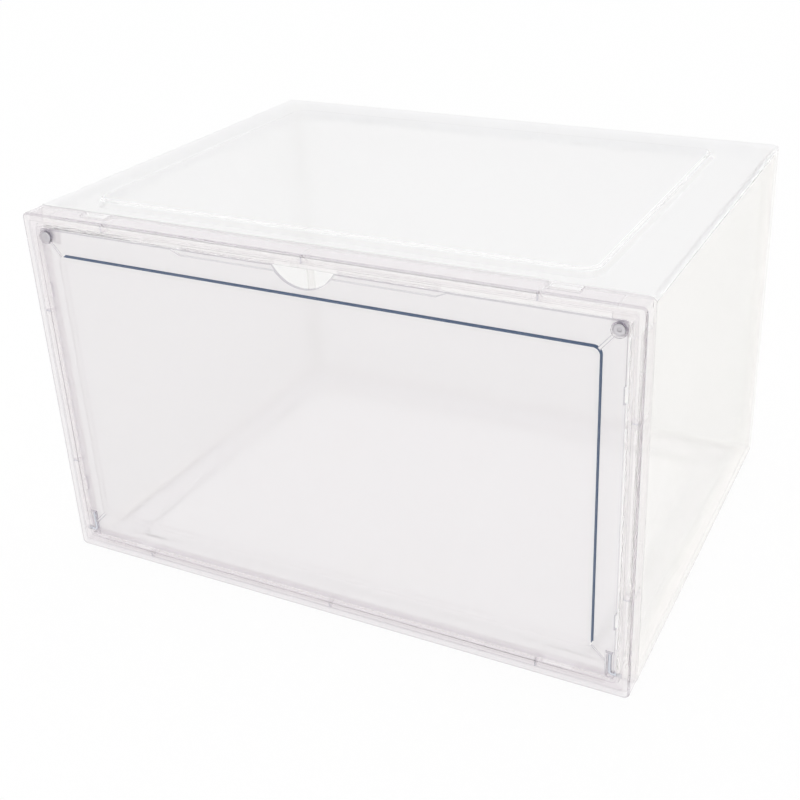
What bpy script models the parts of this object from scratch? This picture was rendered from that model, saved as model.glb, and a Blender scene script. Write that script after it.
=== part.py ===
"""Clear drop-front storage box: five snap-together panels, a front frame and a magnetic door on bottom pivots.

Metres, +Z up. The origin is on the ground under the middle of the box, and the door faces -Y.
Depths are measured back from the frame's front face, heights up from the ground.
"""
import math

import bmesh
import bpy
from mathutils import Matrix, Vector

# Body
BODY_WIDTH = 0.360
BODY_DEPTH = 0.280
BODY_HEIGHT = 0.220
PANEL_WALL = 0.0024
PANEL_EDGE_RADIUS = 0.0021
PANEL_CORNER_RADIUS = 0.0030
SEAM_EDGE_BREAK = 0.0003
FIT_GAP = 0.0003

# Stacking field on the top panel and nest recess under the bottom panel
FIELD_SIDE_MARGIN = 0.0323
FIELD_FRONT_MARGIN = 0.0096
FIELD_BACK_MARGIN = 0.0394
FIELD_HEIGHT = 0.0045
FIELD_CORNER_RADIUS = 0.009
FIELD_STEP_RUN = 0.0022
NEST_CLEARANCE = 0.0010

# Flanges of the side and back panels
FLANGE_REACH = 0.0100
LOCATING_RIB_WIDTH = 0.0014
LOCATING_RIB_HEIGHT = 0.0040
LOCATING_RIB_END_MARGIN = 0.0060

# Tongues that slide into the frame
TONGUE_THICKNESS = 0.0020
TONGUE_REACH = 0.0095
TONGUE_ROOT = 0.0055
TONGUE_CORNER_MARGIN = 0.0150
TONGUE_GUSSET_CLEARANCE = 0.0006

# Seam tabs of the top and bottom panels, and the frame's notches for them
SEAM_TAB_WIDTH = 0.0164
SEAM_TAB_REACH = 0.0062
SEAM_TAB_OFFSET = 0.1370

# Front frame
FRAME_DEPTH = 0.0140
FRAME_WALL = 0.0018
FRAME_LIP_WIDTH = 0.0078
FRAME_BAND_WIDTH = 0.0042
FRAME_BAND_STEP = 0.0008
FRAME_INNER_WALL = 0.0014
FRAME_INNER_DEPTH = 0.0095
FRAME_CORNER_RADIUS = 0.0033
FRAME_EDGE_RADIUS = 0.0012
OPENING_CORNER_RADIUS = 0.0020
GUSSET_THICKNESS = 0.0012
GUSSET_FOOT = 0.0008
GUSSET_LONG_SPACING = 0.1270
GUSSET_SHORT_SPACING = 0.0500
LOCATING_TAB_INNER = 0.0200
LOCATING_TAB_OUTER = 0.0750
LOCATING_TAB_DROP = 0.0026
LOCATING_TAB_DEPTH = 0.0046
BRACKET_MARGIN = 0.0006
BRACKET_THICKNESS = 0.0014

# Door
DOOR_GAP = 0.0014
DOOR_WALL = 0.0020
DOOR_BORDER_DEPTH = 0.0020
DOOR_FIELD_DEPTH = 0.0002
DOOR_CORNER_RADIUS = 0.0016
DOOR_FIELD_SIDE_MARGIN = 0.0118
DOOR_FIELD_TOP_MARGIN = 0.0136
DOOR_FIELD_BOTTOM_MARGIN = 0.0168
DOOR_FIELD_CORNER_RADIUS = 0.0042
DOOR_FIELD_DRAFT = 0.0003
NOTCH_RADIUS = 0.0210
NOTCH_DEPTH = 0.0105
RELIEF_DEPTH = 0.0026
RELIEF_HALF_WIDTH = 0.0750
RELIEF_SLOPE_RUN = 0.0060
EDGE_NICK_LENGTH = 0.0090
EDGE_NICK_DEPTH = 0.0009
EDGE_NICK_FROM_TOP = 0.0370
EDGE_NICK_FROM_BOTTOM = 0.0358
DIAGONAL_RIB_WIDTH = 0.0014
DIAGONAL_RIB_HEIGHT = 0.0009

# Magnets
MAGNET_RADIUS = 0.0030
MAGNET_THICKNESS = 0.0020
MAGNET_SIDE_INSET = 0.0042
MAGNET_TOP_INSET = 0.0043
MAGNET_BOSS_WALL = 0.0006
MAGNET_BOSS_FACE = 0.0009
FRAME_BOSS_WALL = 0.0011

# Hinge
PIN_RADIUS = 0.0010
PIN_BEND_RADIUS = 0.0018
PIN_LEG_HEIGHT = 0.0125
PIN_INSET = 0.0026
PIN_REACH = 0.0026
PIVOT_DEPTH = 0.0026
PIVOT_RISE = 0.0028
PIVOT_BOSS_SIDE_WALL = 0.0010
PIVOT_BOSS_BACK_WALL = 0.0010
PIVOT_BOSS_PROUD = 0.0009
PIVOT_BOSS_END_WALL = 0.0012

# Shared overlap of the solids that are welded, and overrun of the cutters
WELD = 0.0004
OVERRUN = 0.0020
SLIVER = 0.00001

# Facets
CORNER_STEPS = 5
ROUND_STEPS = 24
NOTCH_STEPS = 72
PIN_SIDES = 12

# Places that follow from the sizes
HALF_WIDTH = BODY_WIDTH / 2
FRONT = -BODY_DEPTH / 2
BACK = BODY_DEPTH / 2
PANEL_FRONT = FRONT + FRAME_DEPTH + FIT_GAP
OPENING_HALF_WIDTH = HALF_WIDTH - FRAME_LIP_WIDTH
OPENING_BOTTOM = FRAME_LIP_WIDTH
OPENING_TOP = BODY_HEIGHT - FRAME_LIP_WIDTH
DOOR_HALF_WIDTH = OPENING_HALF_WIDTH - DOOR_GAP
DOOR_BOTTOM = OPENING_BOTTOM + DOOR_GAP
DOOR_TOP = OPENING_TOP - DOOR_GAP
DOOR_BACK_DEPTH = DOOR_BORDER_DEPTH + DOOR_WALL
STOP_DEPTH = DOOR_BACK_DEPTH + FIT_GAP
LIP_BACK_DEPTH = FRAME_BAND_STEP + FRAME_WALL
MAGNET_X = DOOR_HALF_WIDTH - MAGNET_SIDE_INSET
MAGNET_Z = DOOR_TOP - MAGNET_TOP_INSET
POCKET_RADIUS = MAGNET_RADIUS + FIT_GAP
POCKET_DEPTH = MAGNET_THICKNESS + FIT_GAP
PIN_X = DOOR_HALF_WIDTH - PIN_INSET
PIVOT_Z = DOOR_BOTTOM + PIVOT_RISE
GROOVE_HALF = PIN_RADIUS + FIT_GAP
SIDES = {"left": -1, "right": 1}


def clear_scene():
    """Remove every object, so that the script gives the same model each time."""
    for old in list(bpy.data.objects):
        bpy.data.objects.remove(old, do_unlink=True)


def plastic(name, colour, roughness, alpha):
    """A clear moulded plastic."""
    material = bpy.data.materials.new(name)
    material.use_nodes = True
    shader = material.node_tree.nodes["Principled BSDF"]
    shader.inputs["Base Color"].default_value = (*colour, 1.0)
    shader.inputs["Roughness"].default_value = roughness
    shader.inputs["Metallic"].default_value = 0.0
    shader.inputs["Alpha"].default_value = alpha
    material.diffuse_color = (*colour, alpha)
    return material


def metal(name, colour, roughness):
    """A bare metal."""
    material = bpy.data.materials.new(name)
    material.use_nodes = True
    shader = material.node_tree.nodes["Principled BSDF"]
    shader.inputs["Base Color"].default_value = (*colour, 1.0)
    shader.inputs["Roughness"].default_value = roughness
    shader.inputs["Metallic"].default_value = 1.0
    material.diffuse_color = (*colour, 1.0)
    return material


def make_object(name, mesh_builder, material=None):
    """Turn a bmesh into a named object with its faces pointing out."""
    bmesh.ops.recalc_face_normals(mesh_builder, faces=mesh_builder.faces)
    mesh = bpy.data.meshes.new(name)
    mesh_builder.to_mesh(mesh)
    mesh_builder.free()
    body = bpy.data.objects.new(name, mesh)
    bpy.context.scene.collection.objects.link(body)
    if material is not None:
        mesh.materials.append(material)
    return body


def rectangle_loop(half_width, low, high, near_radius, far_radius):
    """Points round a rectangle with rounded corners, anticlockwise from its low left corner.

    The corners on the low edge take near_radius, those on the high edge far_radius.
    """
    corners = (
        (-half_width, low, near_radius, math.pi),
        (half_width, low, near_radius, 1.5 * math.pi),
        (half_width, high, far_radius, 0.0),
        (-half_width, high, far_radius, 0.5 * math.pi),
    )
    points = []
    for across, along, radius, start in corners:
        centre_across = across - math.copysign(radius, across)
        centre_along = along + (radius if along == low else -radius)
        for step in range(CORNER_STEPS + 1):
            angle = start + 0.5 * math.pi * step / CORNER_STEPS
            points.append((centre_across + radius * math.cos(angle), centre_along + radius * math.sin(angle)))
    return points


def loft(name, loops, closed_ring, material=None):
    """Skin a row of loops of equal length: a ring closes on itself, a slab is capped at both ends."""
    builder = bmesh.new()
    rows = [[builder.verts.new(point) for point in loop] for loop in loops]
    count = len(rows[0])
    pairs = list(zip(rows, rows[1:]))
    if closed_ring:
        pairs.append((rows[-1], rows[0]))
    for first, second in pairs:
        for index in range(count):
            following = (index + 1) % count
            builder.faces.new((first[index], first[following], second[following], second[index]))
    if not closed_ring:
        builder.faces.new(rows[0])
        builder.faces.new(rows[-1])
    return make_object(name, builder, material)


def block(low, high):
    """A plain box between two corners, used to weld on or cut away."""
    outline = [(low[0], low[2]), (high[0], low[2]), (high[0], high[2]), (low[0], high[2])]
    return prism(outline, low[1], high[1])


def mirrored_block(side, low, high):
    """A box given for the right-hand side (+X), made on the side asked for."""
    near, far = sorted((side * low[0], side * high[0]))
    return block((near, low[1], low[2]), (far, high[1], high[2]))


def cylinder(centre, radius, start, end, axis, steps):
    """A round bar along Y or X between two places on that axis."""
    builder = bmesh.new()
    bmesh.ops.create_cone(builder, cap_ends=True, segments=steps, radius1=radius, radius2=radius,
                          depth=abs(end - start))
    turn = Matrix.Rotation(math.pi / 2, 4, "X" if axis == "Y" else "Y")
    bmesh.ops.transform(builder, matrix=turn, verts=builder.verts)
    middle = (start + end) / 2
    place = (centre[0], middle, centre[1]) if axis == "Y" else (middle, centre[0], centre[1])
    bmesh.ops.translate(builder, vec=place, verts=builder.verts)
    return make_object("bar", builder)


def prism(outline, start, end, axis="Y"):
    """An outline carried straight along an axis. Its two coordinates are those of the other two axes, in order."""
    before = "XYZ".index(axis)
    loops = [[(*point[:before], place, *point[before:]) for point in outline] for place in (start, end)]
    return loft("prism", loops, False)


def apply_boolean(body, tool, operation):
    """Join the tool to the body or cut it away, and drop the tool."""
    modifier = body.modifiers.new(operation, "BOOLEAN")
    modifier.operation = operation
    modifier.solver = "EXACT"
    modifier.object = tool
    bpy.context.view_layer.update()
    evaluated = body.evaluated_get(bpy.context.evaluated_depsgraph_get())
    shaped = bpy.data.meshes.new_from_object(evaluated)
    body.modifiers.remove(modifier)
    old = body.data
    body.data = shaped
    bpy.data.meshes.remove(old)
    bpy.data.objects.remove(tool, do_unlink=True)


def weld(body, tools):
    """Join every tool to the body."""
    for tool in tools:
        apply_boolean(body, tool, "UNION")


def cut(body, tools):
    """Cut every tool out of the body."""
    for tool in tools:
        apply_boolean(body, tool, "DIFFERENCE")


def finish(body, name, material, origin=None, parent=None):
    """Name the piece, shade its rounds smooth and put its origin where it turns."""
    drop_slivers(body)
    body.name = name
    body.data.name = name
    body.data.materials.clear()
    body.data.materials.append(material)
    body.data.shade_smooth()
    body.data.set_sharp_from_angle(angle=math.radians(32))
    if origin is not None:
        body.data.transform(Matrix.Translation(-Vector(origin)))
        body.location = origin
    if parent is not None:
        body.parent = parent
        body.location = Vector(origin) - parent.location
    return body


def drop_slivers(body):
    """Join the flat faces that the cuts split and merge the points that they left almost on top of each other."""
    builder = bmesh.new()
    builder.from_mesh(body.data)
    bmesh.ops.remove_doubles(builder, verts=builder.verts, dist=SLIVER)
    bmesh.ops.dissolve_limit(builder, angle_limit=math.radians(0.02), verts=builder.verts, edges=builder.edges)
    bmesh.ops.triangulate(builder, faces=builder.faces)
    builder.to_mesh(body.data)
    builder.free()


def quarter_round(radius, steps=3):
    """Inset and sink of the points on a quarter-round edge, from the side face to the flat face."""
    angles = [0.5 * math.pi * step / steps for step in range(steps + 1)]
    return [(radius * (1 - math.cos(angle)), radius * (1 - math.sin(angle))) for angle in angles]


def gusset_places():
    """Where the gussets cross the frame's channel: along the long rails, and up the short ones."""
    long_rails = (-GUSSET_LONG_SPACING, 0.0, GUSSET_LONG_SPACING)
    middle = BODY_HEIGHT / 2
    short_rails = (middle - GUSSET_SHORT_SPACING, middle + GUSSET_SHORT_SPACING)
    return long_rails, short_rails


def make_front_frame(material):
    """The frame: one moulded profile carried round the front, with gussets, brackets, tabs, notches and bores."""
    inner_face = FRAME_LIP_WIDTH - FRAME_INNER_WALL
    profile = [(0.0, FRAME_DEPTH)]
    profile += quarter_round(FRAME_EDGE_RADIUS)
    profile += [
        (FRAME_BAND_WIDTH, 0.0),
        (FRAME_BAND_WIDTH, FRAME_BAND_STEP),
        (FRAME_LIP_WIDTH, FRAME_BAND_STEP),
        (FRAME_LIP_WIDTH, FRAME_INNER_DEPTH),
        (inner_face, FRAME_INNER_DEPTH),
        (inner_face, LIP_BACK_DEPTH),
        (FRAME_WALL, LIP_BACK_DEPTH),
        (FRAME_WALL, FRAME_DEPTH),
    ]
    loops = []
    for inset, depth in profile:
        radius = max(FRAME_CORNER_RADIUS - inset, OPENING_CORNER_RADIUS)
        outline = rectangle_loop(HALF_WIDTH - inset, inset, BODY_HEIGHT - inset, radius, radius)
        loops.append([(across, FRONT + depth, height) for across, height in outline])
    frame = loft("front_frame", loops, True)
    weld(frame, frame_gussets(inner_face))
    for side in SIDES.values():
        weld(frame, magnet_bracket(side))
        weld(frame, [mirrored_block(
            side,
            (LOCATING_TAB_INNER, FRONT + STOP_DEPTH, OPENING_TOP - LOCATING_TAB_DROP),
            (LOCATING_TAB_OUTER, FRONT + STOP_DEPTH + LOCATING_TAB_DEPTH, OPENING_TOP + WELD),
        )])
        cut(frame, [
            cylinder((side * MAGNET_X, MAGNET_Z), POCKET_RADIUS, FRONT + STOP_DEPTH - OVERRUN,
                     FRONT + STOP_DEPTH + POCKET_DEPTH, "Y", ROUND_STEPS),
            pivot_bore(side),
        ])
        cut(frame, seam_notches(side))
    return finish(frame, "front_frame", material)


def frame_gussets(inner_face):
    """Ten thin three-cornered gussets, tall at the inner wall and sloping down to the back of the outer one."""
    long_rails, short_rails = gusset_places()
    half = GUSSET_THICKNESS / 2
    near = FRAME_WALL - WELD
    far = inner_face + WELD
    front = FRONT + LIP_BACK_DEPTH - WELD
    back = FRONT + FRAME_INNER_DEPTH - WELD
    triangle = [(front, near), (front, far), (back, far), (front + GUSSET_FOOT, near)]
    gussets = []
    for place in long_rails:
        upper = [(depth, BODY_HEIGHT - inset) for depth, inset in triangle]
        gussets.append(prism(triangle, place - half, place + half, "X"))
        gussets.append(prism(upper, place - half, place + half, "X"))
    for side in SIDES.values():
        plan = [(side * (HALF_WIDTH - inset), depth) for depth, inset in triangle]
        for place in short_rails:
            gussets.append(prism(plan, place - half, place + half, "Z"))
    return gussets


def magnet_bracket(side):
    """A plate across the opening's top corner with the round boss that holds the frame's magnet."""
    back = FRONT + STOP_DEPTH + POCKET_DEPTH + BRACKET_THICKNESS
    front = back - BRACKET_THICKNESS
    boss_radius = POCKET_RADIUS + FRAME_BOSS_WALL
    reach = boss_radius + BRACKET_MARGIN
    plate = mirrored_block(
        side,
        (MAGNET_X - reach, front, MAGNET_Z - reach),
        (OPENING_HALF_WIDTH + WELD, back, OPENING_TOP + WELD),
    )
    boss = cylinder((side * MAGNET_X, MAGNET_Z), boss_radius, FRONT + STOP_DEPTH, front + WELD, "Y", ROUND_STEPS)
    return [plate, boss]


def pivot_bore(side):
    """The bore in the frame's inner wall that the hinge pin turns in."""
    start = OPENING_HALF_WIDTH - OVERRUN
    end = OPENING_HALF_WIDTH + PIN_REACH + FIT_GAP
    near, far = sorted((side * start, side * end))
    return cylinder((FRONT + PIVOT_DEPTH, PIVOT_Z), PIN_RADIUS + FIT_GAP, near, far, "X", ROUND_STEPS)


def seam_notches(side):
    """Notches in the back edge of the frame's top and bottom walls, one for each seam tab."""
    half = SEAM_TAB_WIDTH / 2 + FIT_GAP
    near = SEAM_TAB_OFFSET - half
    far = SEAM_TAB_OFFSET + half
    front = FRONT + FRAME_DEPTH - SEAM_TAB_REACH
    back = FRONT + FRAME_DEPTH + OVERRUN
    inside = FRAME_WALL + WELD
    return [
        mirrored_block(side, (near, front, -OVERRUN), (far, back, inside)),
        mirrored_block(side, (near, front, BODY_HEIGHT - inside), (far, back, BODY_HEIGHT + OVERRUN)),
    ]


def door_loop(inset_side, inset_bottom, inset_top, radius, depth):
    """One loop of the door, set in from its outer edges."""
    outline = rectangle_loop(DOOR_HALF_WIDTH - inset_side, DOOR_BOTTOM + inset_bottom,
                             DOOR_TOP - inset_top, radius, radius)
    return [(across, FRONT + depth, height) for across, height in outline]


def field_loop(extra, depth):
    """One loop of the door's raised field, drawn in by extra."""
    radius = DOOR_FIELD_CORNER_RADIUS - extra
    return door_loop(DOOR_FIELD_SIDE_MARGIN + extra, DOOR_FIELD_BOTTOM_MARGIN + extra,
                     DOOR_FIELD_TOP_MARGIN + extra, radius, depth)


def make_door_panel(material, pivot, parent):
    """The door: a plate of even wall with its middle field stepped forward."""
    field_back = DOOR_FIELD_DEPTH + DOOR_WALL
    loops = [
        field_loop(DOOR_WALL + DOOR_FIELD_DRAFT, field_back),
        field_loop(DOOR_WALL, DOOR_BACK_DEPTH),
        door_loop(0.0, 0.0, 0.0, DOOR_CORNER_RADIUS, DOOR_BACK_DEPTH),
        door_loop(0.0, 0.0, 0.0, DOOR_CORNER_RADIUS, DOOR_BORDER_DEPTH),
        field_loop(0.0, DOOR_BORDER_DEPTH),
        field_loop(DOOR_FIELD_DRAFT, DOOR_FIELD_DEPTH),
    ]
    door = loft("door_panel", loops, False)
    for side in SIDES.values():
        weld(door, [magnet_boss(side), pivot_boss(side)])
        weld(door, diagonal_ribs(side))
        cut(door, [
            cylinder((side * MAGNET_X, MAGNET_Z), POCKET_RADIUS, FRONT + DOOR_BACK_DEPTH - POCKET_DEPTH,
                     FRONT + DOOR_BACK_DEPTH + OVERRUN, "Y", ROUND_STEPS),
        ])
        cut(door, pivot_groove(side))
        cut(door, edge_nicks(side))
    cut(door, [top_relief(), finger_notch()])
    return finish(door, "door_panel", material, pivot, parent)


def magnet_boss(side):
    """The round boss on the door's corner, closed at the front."""
    front = DOOR_BACK_DEPTH - POCKET_DEPTH - MAGNET_BOSS_FACE
    return cylinder((side * MAGNET_X, MAGNET_Z), POCKET_RADIUS + MAGNET_BOSS_WALL, FRONT + front,
                    FRONT + DOOR_BACK_DEPTH, "Y", ROUND_STEPS)


def pivot_boss(side):
    """The tall boss at the door's bottom corner that the bent hinge pin snaps into."""
    inner = PIN_X - GROOVE_HALF - PIVOT_BOSS_SIDE_WALL
    top = PIVOT_Z + PIN_LEG_HEIGHT + FIT_GAP + PIVOT_BOSS_END_WALL
    back = PIVOT_DEPTH + GROOVE_HALF + PIVOT_BOSS_BACK_WALL
    return mirrored_block(
        side,
        (inner, FRONT + DOOR_BORDER_DEPTH - PIVOT_BOSS_PROUD, DOOR_BOTTOM),
        (DOOR_HALF_WIDTH, FRONT + back, top),
    )


def pivot_groove(side):
    """The groove for the pin, open to the front and out through the door's edge."""
    back = FRONT + PIVOT_DEPTH + GROOVE_HALF
    front = FRONT - OVERRUN
    upright = mirrored_block(
        side,
        (PIN_X - GROOVE_HALF, front, PIVOT_Z - GROOVE_HALF),
        (PIN_X + GROOVE_HALF, back, PIVOT_Z + PIN_LEG_HEIGHT + FIT_GAP),
    )
    outlet = mirrored_block(
        side,
        (PIN_X, front, PIVOT_Z - GROOVE_HALF),
        (DOOR_HALF_WIDTH + OVERRUN, back, PIVOT_Z + GROOVE_HALF),
    )
    return [upright, outlet]


def bar_between(start, end, width, front, back):
    """A straight rib in the door's plane from one point to another."""
    along = Vector((end[0] - start[0], end[1] - start[1])).normalized() * (width / 2)
    across = Vector((-along.y, along.x))
    outline = [
        (start[0] + across.x, start[1] + across.y),
        (start[0] - across.x, start[1] - across.y),
        (end[0] - across.x, end[1] - across.y),
        (end[0] + across.x, end[1] + across.y),
    ]
    return prism(outline, front, back)


def diagonal_ribs(side):
    """Ribs from the raised field's corners to the magnet boss and the pivot boss."""
    front = FRONT + DOOR_BORDER_DEPTH - DIAGONAL_RIB_HEIGHT
    back = FRONT + DOOR_BORDER_DEPTH + WELD
    field_x = DOOR_HALF_WIDTH - DOOR_FIELD_SIDE_MARGIN - DOOR_FIELD_CORNER_RADIUS / 2
    field_top = DOOR_TOP - DOOR_FIELD_TOP_MARGIN - DOOR_FIELD_CORNER_RADIUS / 2
    field_bottom = DOOR_BOTTOM + DOOR_FIELD_BOTTOM_MARGIN + DOOR_FIELD_CORNER_RADIUS / 2
    boss_edge = PIN_X - GROOVE_HALF - PIVOT_BOSS_SIDE_WALL / 2
    drop = boss_edge - field_x
    return [
        bar_between((side * field_x, field_top), (side * MAGNET_X, MAGNET_Z), DIAGONAL_RIB_WIDTH, front, back),
        bar_between((side * field_x, field_bottom), (side * boss_edge, field_bottom - drop),
                    DIAGONAL_RIB_WIDTH, front, back),
    ]


def edge_nicks(side):
    """Two shallow nicks in the door's upright edge."""
    nicks = []
    for middle in (DOOR_TOP - EDGE_NICK_FROM_TOP, DOOR_BOTTOM + EDGE_NICK_FROM_BOTTOM):
        nicks.append(mirrored_block(
            side,
            (DOOR_HALF_WIDTH - EDGE_NICK_DEPTH, FRONT - OVERRUN, middle - EDGE_NICK_LENGTH / 2),
            (DOOR_HALF_WIDTH + OVERRUN, FRONT + DOOR_BACK_DEPTH + OVERRUN, middle + EDGE_NICK_LENGTH / 2),
        ))
    return nicks


def top_relief():
    """The long shallow relief in the door's top edge, with sloping ends."""
    low = DOOR_TOP - RELIEF_DEPTH
    high = DOOR_TOP + OVERRUN
    wide = RELIEF_HALF_WIDTH + RELIEF_SLOPE_RUN * (high - low) / RELIEF_DEPTH
    outline = [(-RELIEF_HALF_WIDTH, low), (RELIEF_HALF_WIDTH, low), (wide, high), (-wide, high)]
    return prism(outline, FRONT - OVERRUN, FRONT + DOOR_BACK_DEPTH + OVERRUN)


def finger_notch():
    """The half-round notch in the middle of the top edge."""
    centre = (0.0, DOOR_TOP - NOTCH_DEPTH + NOTCH_RADIUS)
    return cylinder(centre, NOTCH_RADIUS, FRONT - OVERRUN, FRONT + DOOR_BACK_DEPTH + OVERRUN, "Y", NOTCH_STEPS)


def make_stacking_panel(name, material, is_top):
    """The top or bottom panel: a plate of even wall with its middle field stepped up on a sloping wall.

    Sinks are measured in from the panel's outer face, so the top's field has a negative one. The inner face of the
    slope stays one wall away from the outer one, which shifts its bends by the wall times the tangent of half the
    slope's angle.
    """
    grow = 0.0 if is_top else NEST_CLEARANCE
    foot = grow + FIELD_STEP_RUN
    step = -FIELD_HEIGHT if is_top else FIELD_HEIGHT + NEST_CLEARANCE / 2
    slope = math.atan2(step, FIELD_STEP_RUN)
    shift = PANEL_WALL * math.tan(slope / 2)

    def height(sink):
        return BODY_HEIGHT - sink if is_top else sink

    def outer(inset, sink, front_inset):
        radius = max(PANEL_CORNER_RADIUS - inset, SEAM_EDGE_BREAK)
        outline = rectangle_loop(HALF_WIDTH - inset, PANEL_FRONT + front_inset, BACK - inset,
                                 SEAM_EDGE_BREAK, radius)
        return [(across, along, height(sink)) for across, along in outline]

    def field(extra, sink):
        outline = rectangle_loop(
            HALF_WIDTH - FIELD_SIDE_MARGIN + extra,
            PANEL_FRONT + FIELD_FRONT_MARGIN - extra,
            BACK - FIELD_BACK_MARGIN + extra,
            FIELD_CORNER_RADIUS + extra, FIELD_CORNER_RADIUS + extra,
        )
        return [(across, along, height(sink)) for across, along in outline]

    loops = [field(grow + shift, step + PANEL_WALL), field(foot + shift, PANEL_WALL)]
    loops.append(outer(0.0, PANEL_WALL, 0.0))
    for inset, sink in quarter_round(PANEL_EDGE_RADIUS):
        loops.append(outer(inset, sink, SEAM_EDGE_BREAK * inset / PANEL_EDGE_RADIUS))
    loops += [field(foot, 0.0), field(grow, step)]
    panel = loft(name, loops, False)
    weld(panel, panel_tongue(is_top))
    weld(panel, seam_tabs(is_top))
    weld(panel, locating_ribs(is_top))
    return finish(panel, name, material)


def flipped_block(is_top, low, high):
    """A box whose heights are sinks from the outer face of the top or bottom panel."""
    if is_top:
        return block((low[0], low[1], BODY_HEIGHT - high[2]), (high[0], high[1], BODY_HEIGHT - low[2]))
    return block(low, high)


def tongue_spans(low, high, crossings):
    """Split a tongue's length where the frame's gussets cross it."""
    half = GUSSET_THICKNESS / 2 + TONGUE_GUSSET_CLEARANCE
    edges = [low]
    for place in sorted(crossings):
        edges += [place - half, place + half]
    edges.append(high)
    return list(zip(edges[0::2], edges[1::2]))


def tongue_levels():
    """How deep in the frame the tongues lie, measured in from the outer face."""
    near = FRAME_WALL + FIT_GAP
    return near, near + TONGUE_THICKNESS


def panel_tongue(is_top):
    """The joggled tongue along the front edge, in spans between the frame's gussets."""
    near, far = tongue_levels()
    reach = HALF_WIDTH - TONGUE_CORNER_MARGIN
    spans = tongue_spans(-reach, reach, gusset_places()[0])
    front = PANEL_FRONT - TONGUE_REACH
    back = PANEL_FRONT + TONGUE_ROOT
    return [flipped_block(is_top, (low, front, near), (high, back, far)) for low, high in spans]


def seam_tabs(is_top):
    """Two tabs that lie flush in the notches of the frame's wall."""
    half = SEAM_TAB_WIDTH / 2
    far = FRAME_WALL + FIT_GAP + WELD
    tabs = []
    for side in SIDES.values():
        low = (side * SEAM_TAB_OFFSET - half, PANEL_FRONT - SEAM_TAB_REACH, 0.0)
        high = (side * SEAM_TAB_OFFSET + half, PANEL_FRONT + TONGUE_ROOT / 2, far)
        tabs.append(flipped_block(is_top, (low[0], low[1], SEAM_EDGE_BREAK), high))
    return tabs


def locating_ribs(is_top):
    """Low ribs inside the panel that the side and back panels stand against."""
    if is_top:
        reach = PANEL_WALL + FIT_GAP
    else:
        reach = FLANGE_REACH + FIT_GAP
    side_far = HALF_WIDTH - reach
    back_far = BACK - reach
    top = PANEL_WALL + LOCATING_RIB_HEIGHT
    start = PANEL_FRONT + TONGUE_ROOT + LOCATING_RIB_END_MARGIN
    end = back_far - LOCATING_RIB_END_MARGIN
    across = HALF_WIDTH - FLANGE_REACH - LOCATING_RIB_END_MARGIN
    ribs = []
    for side in SIDES.values():
        near, far = sorted((side * (side_far - LOCATING_RIB_WIDTH), side * side_far))
        ribs.append(flipped_block(is_top, (near, start, PANEL_WALL - WELD), (far, end, top)))
    ribs.append(flipped_block(is_top, (-across, back_far - LOCATING_RIB_WIDTH, PANEL_WALL - WELD),
                              (across, back_far, top)))
    return ribs


def make_side_panel(name, material, side):
    """A side panel: a plate with a flange along its foot and its back edge, and a tongue into the frame."""
    low = PANEL_WALL + FIT_GAP
    high = BODY_HEIGHT - PANEL_WALL - FIT_GAP
    flange_inner = HALF_WIDTH - FLANGE_REACH
    flange_back = BACK - PANEL_WALL - FIT_GAP
    panel = side_plate(side, low, high)
    foot = mirrored_block(side, (flange_inner, PANEL_FRONT, low),
                          (HALF_WIDTH - PANEL_WALL + WELD, flange_back, low + PANEL_WALL))
    rear = mirrored_block(side, (flange_inner, flange_back - PANEL_WALL, low),
                          (HALF_WIDTH - PANEL_WALL + WELD, flange_back, high))
    weld(panel, [foot, rear])
    near, far = tongue_levels()
    spans = tongue_spans(TONGUE_CORNER_MARGIN, BODY_HEIGHT - TONGUE_CORNER_MARGIN, gusset_places()[1])
    weld(panel, [
        mirrored_block(side, (HALF_WIDTH - far, PANEL_FRONT - TONGUE_REACH, bottom),
                       (HALF_WIDTH - near, PANEL_FRONT + TONGUE_ROOT, top))
        for bottom, top in spans
    ])
    return finish(panel, name, material)


def side_plate(side, low, high):
    """The side panel's plate, drawn in plan with its back outer edge rounded."""
    inner = HALF_WIDTH - PANEL_WALL
    plan = [(inner, PANEL_FRONT), (HALF_WIDTH - SEAM_EDGE_BREAK, PANEL_FRONT),
            (HALF_WIDTH, PANEL_FRONT + SEAM_EDGE_BREAK)]
    for inset, sink in quarter_round(PANEL_EDGE_RADIUS):
        plan.append((HALF_WIDTH - inset, BACK - sink))
    plan.append((inner, BACK))
    loops = [[(side * across, along, level) for across, along in plan] for level in (low, high)]
    return loft("side_plate", loops, False)


def make_back_panel(material):
    """The back panel: a plate between the side panels with a foot flange that lies on the bottom panel."""
    low = PANEL_WALL + FIT_GAP
    high = BODY_HEIGHT - PANEL_WALL - FIT_GAP
    half = HALF_WIDTH - PANEL_WALL - FIT_GAP
    inner = BACK - PANEL_WALL
    panel = block((-half, inner, low), (half, BACK, high))
    flange_half = HALF_WIDTH - FLANGE_REACH - FIT_GAP
    weld(panel, [block((-flange_half, BACK - FLANGE_REACH, low), (flange_half, inner + WELD, low + PANEL_WALL))])
    return finish(panel, "back_panel", material)


def make_magnet(name, material, side, front, pivot=None, parent=None):
    """A small disc magnet lying in its pocket."""
    disc = cylinder((side * MAGNET_X, MAGNET_Z), MAGNET_RADIUS, FRONT + front, FRONT + front + MAGNET_THICKNESS,
                    "Y", ROUND_STEPS)
    return finish(disc, name, material, pivot, parent)


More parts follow.
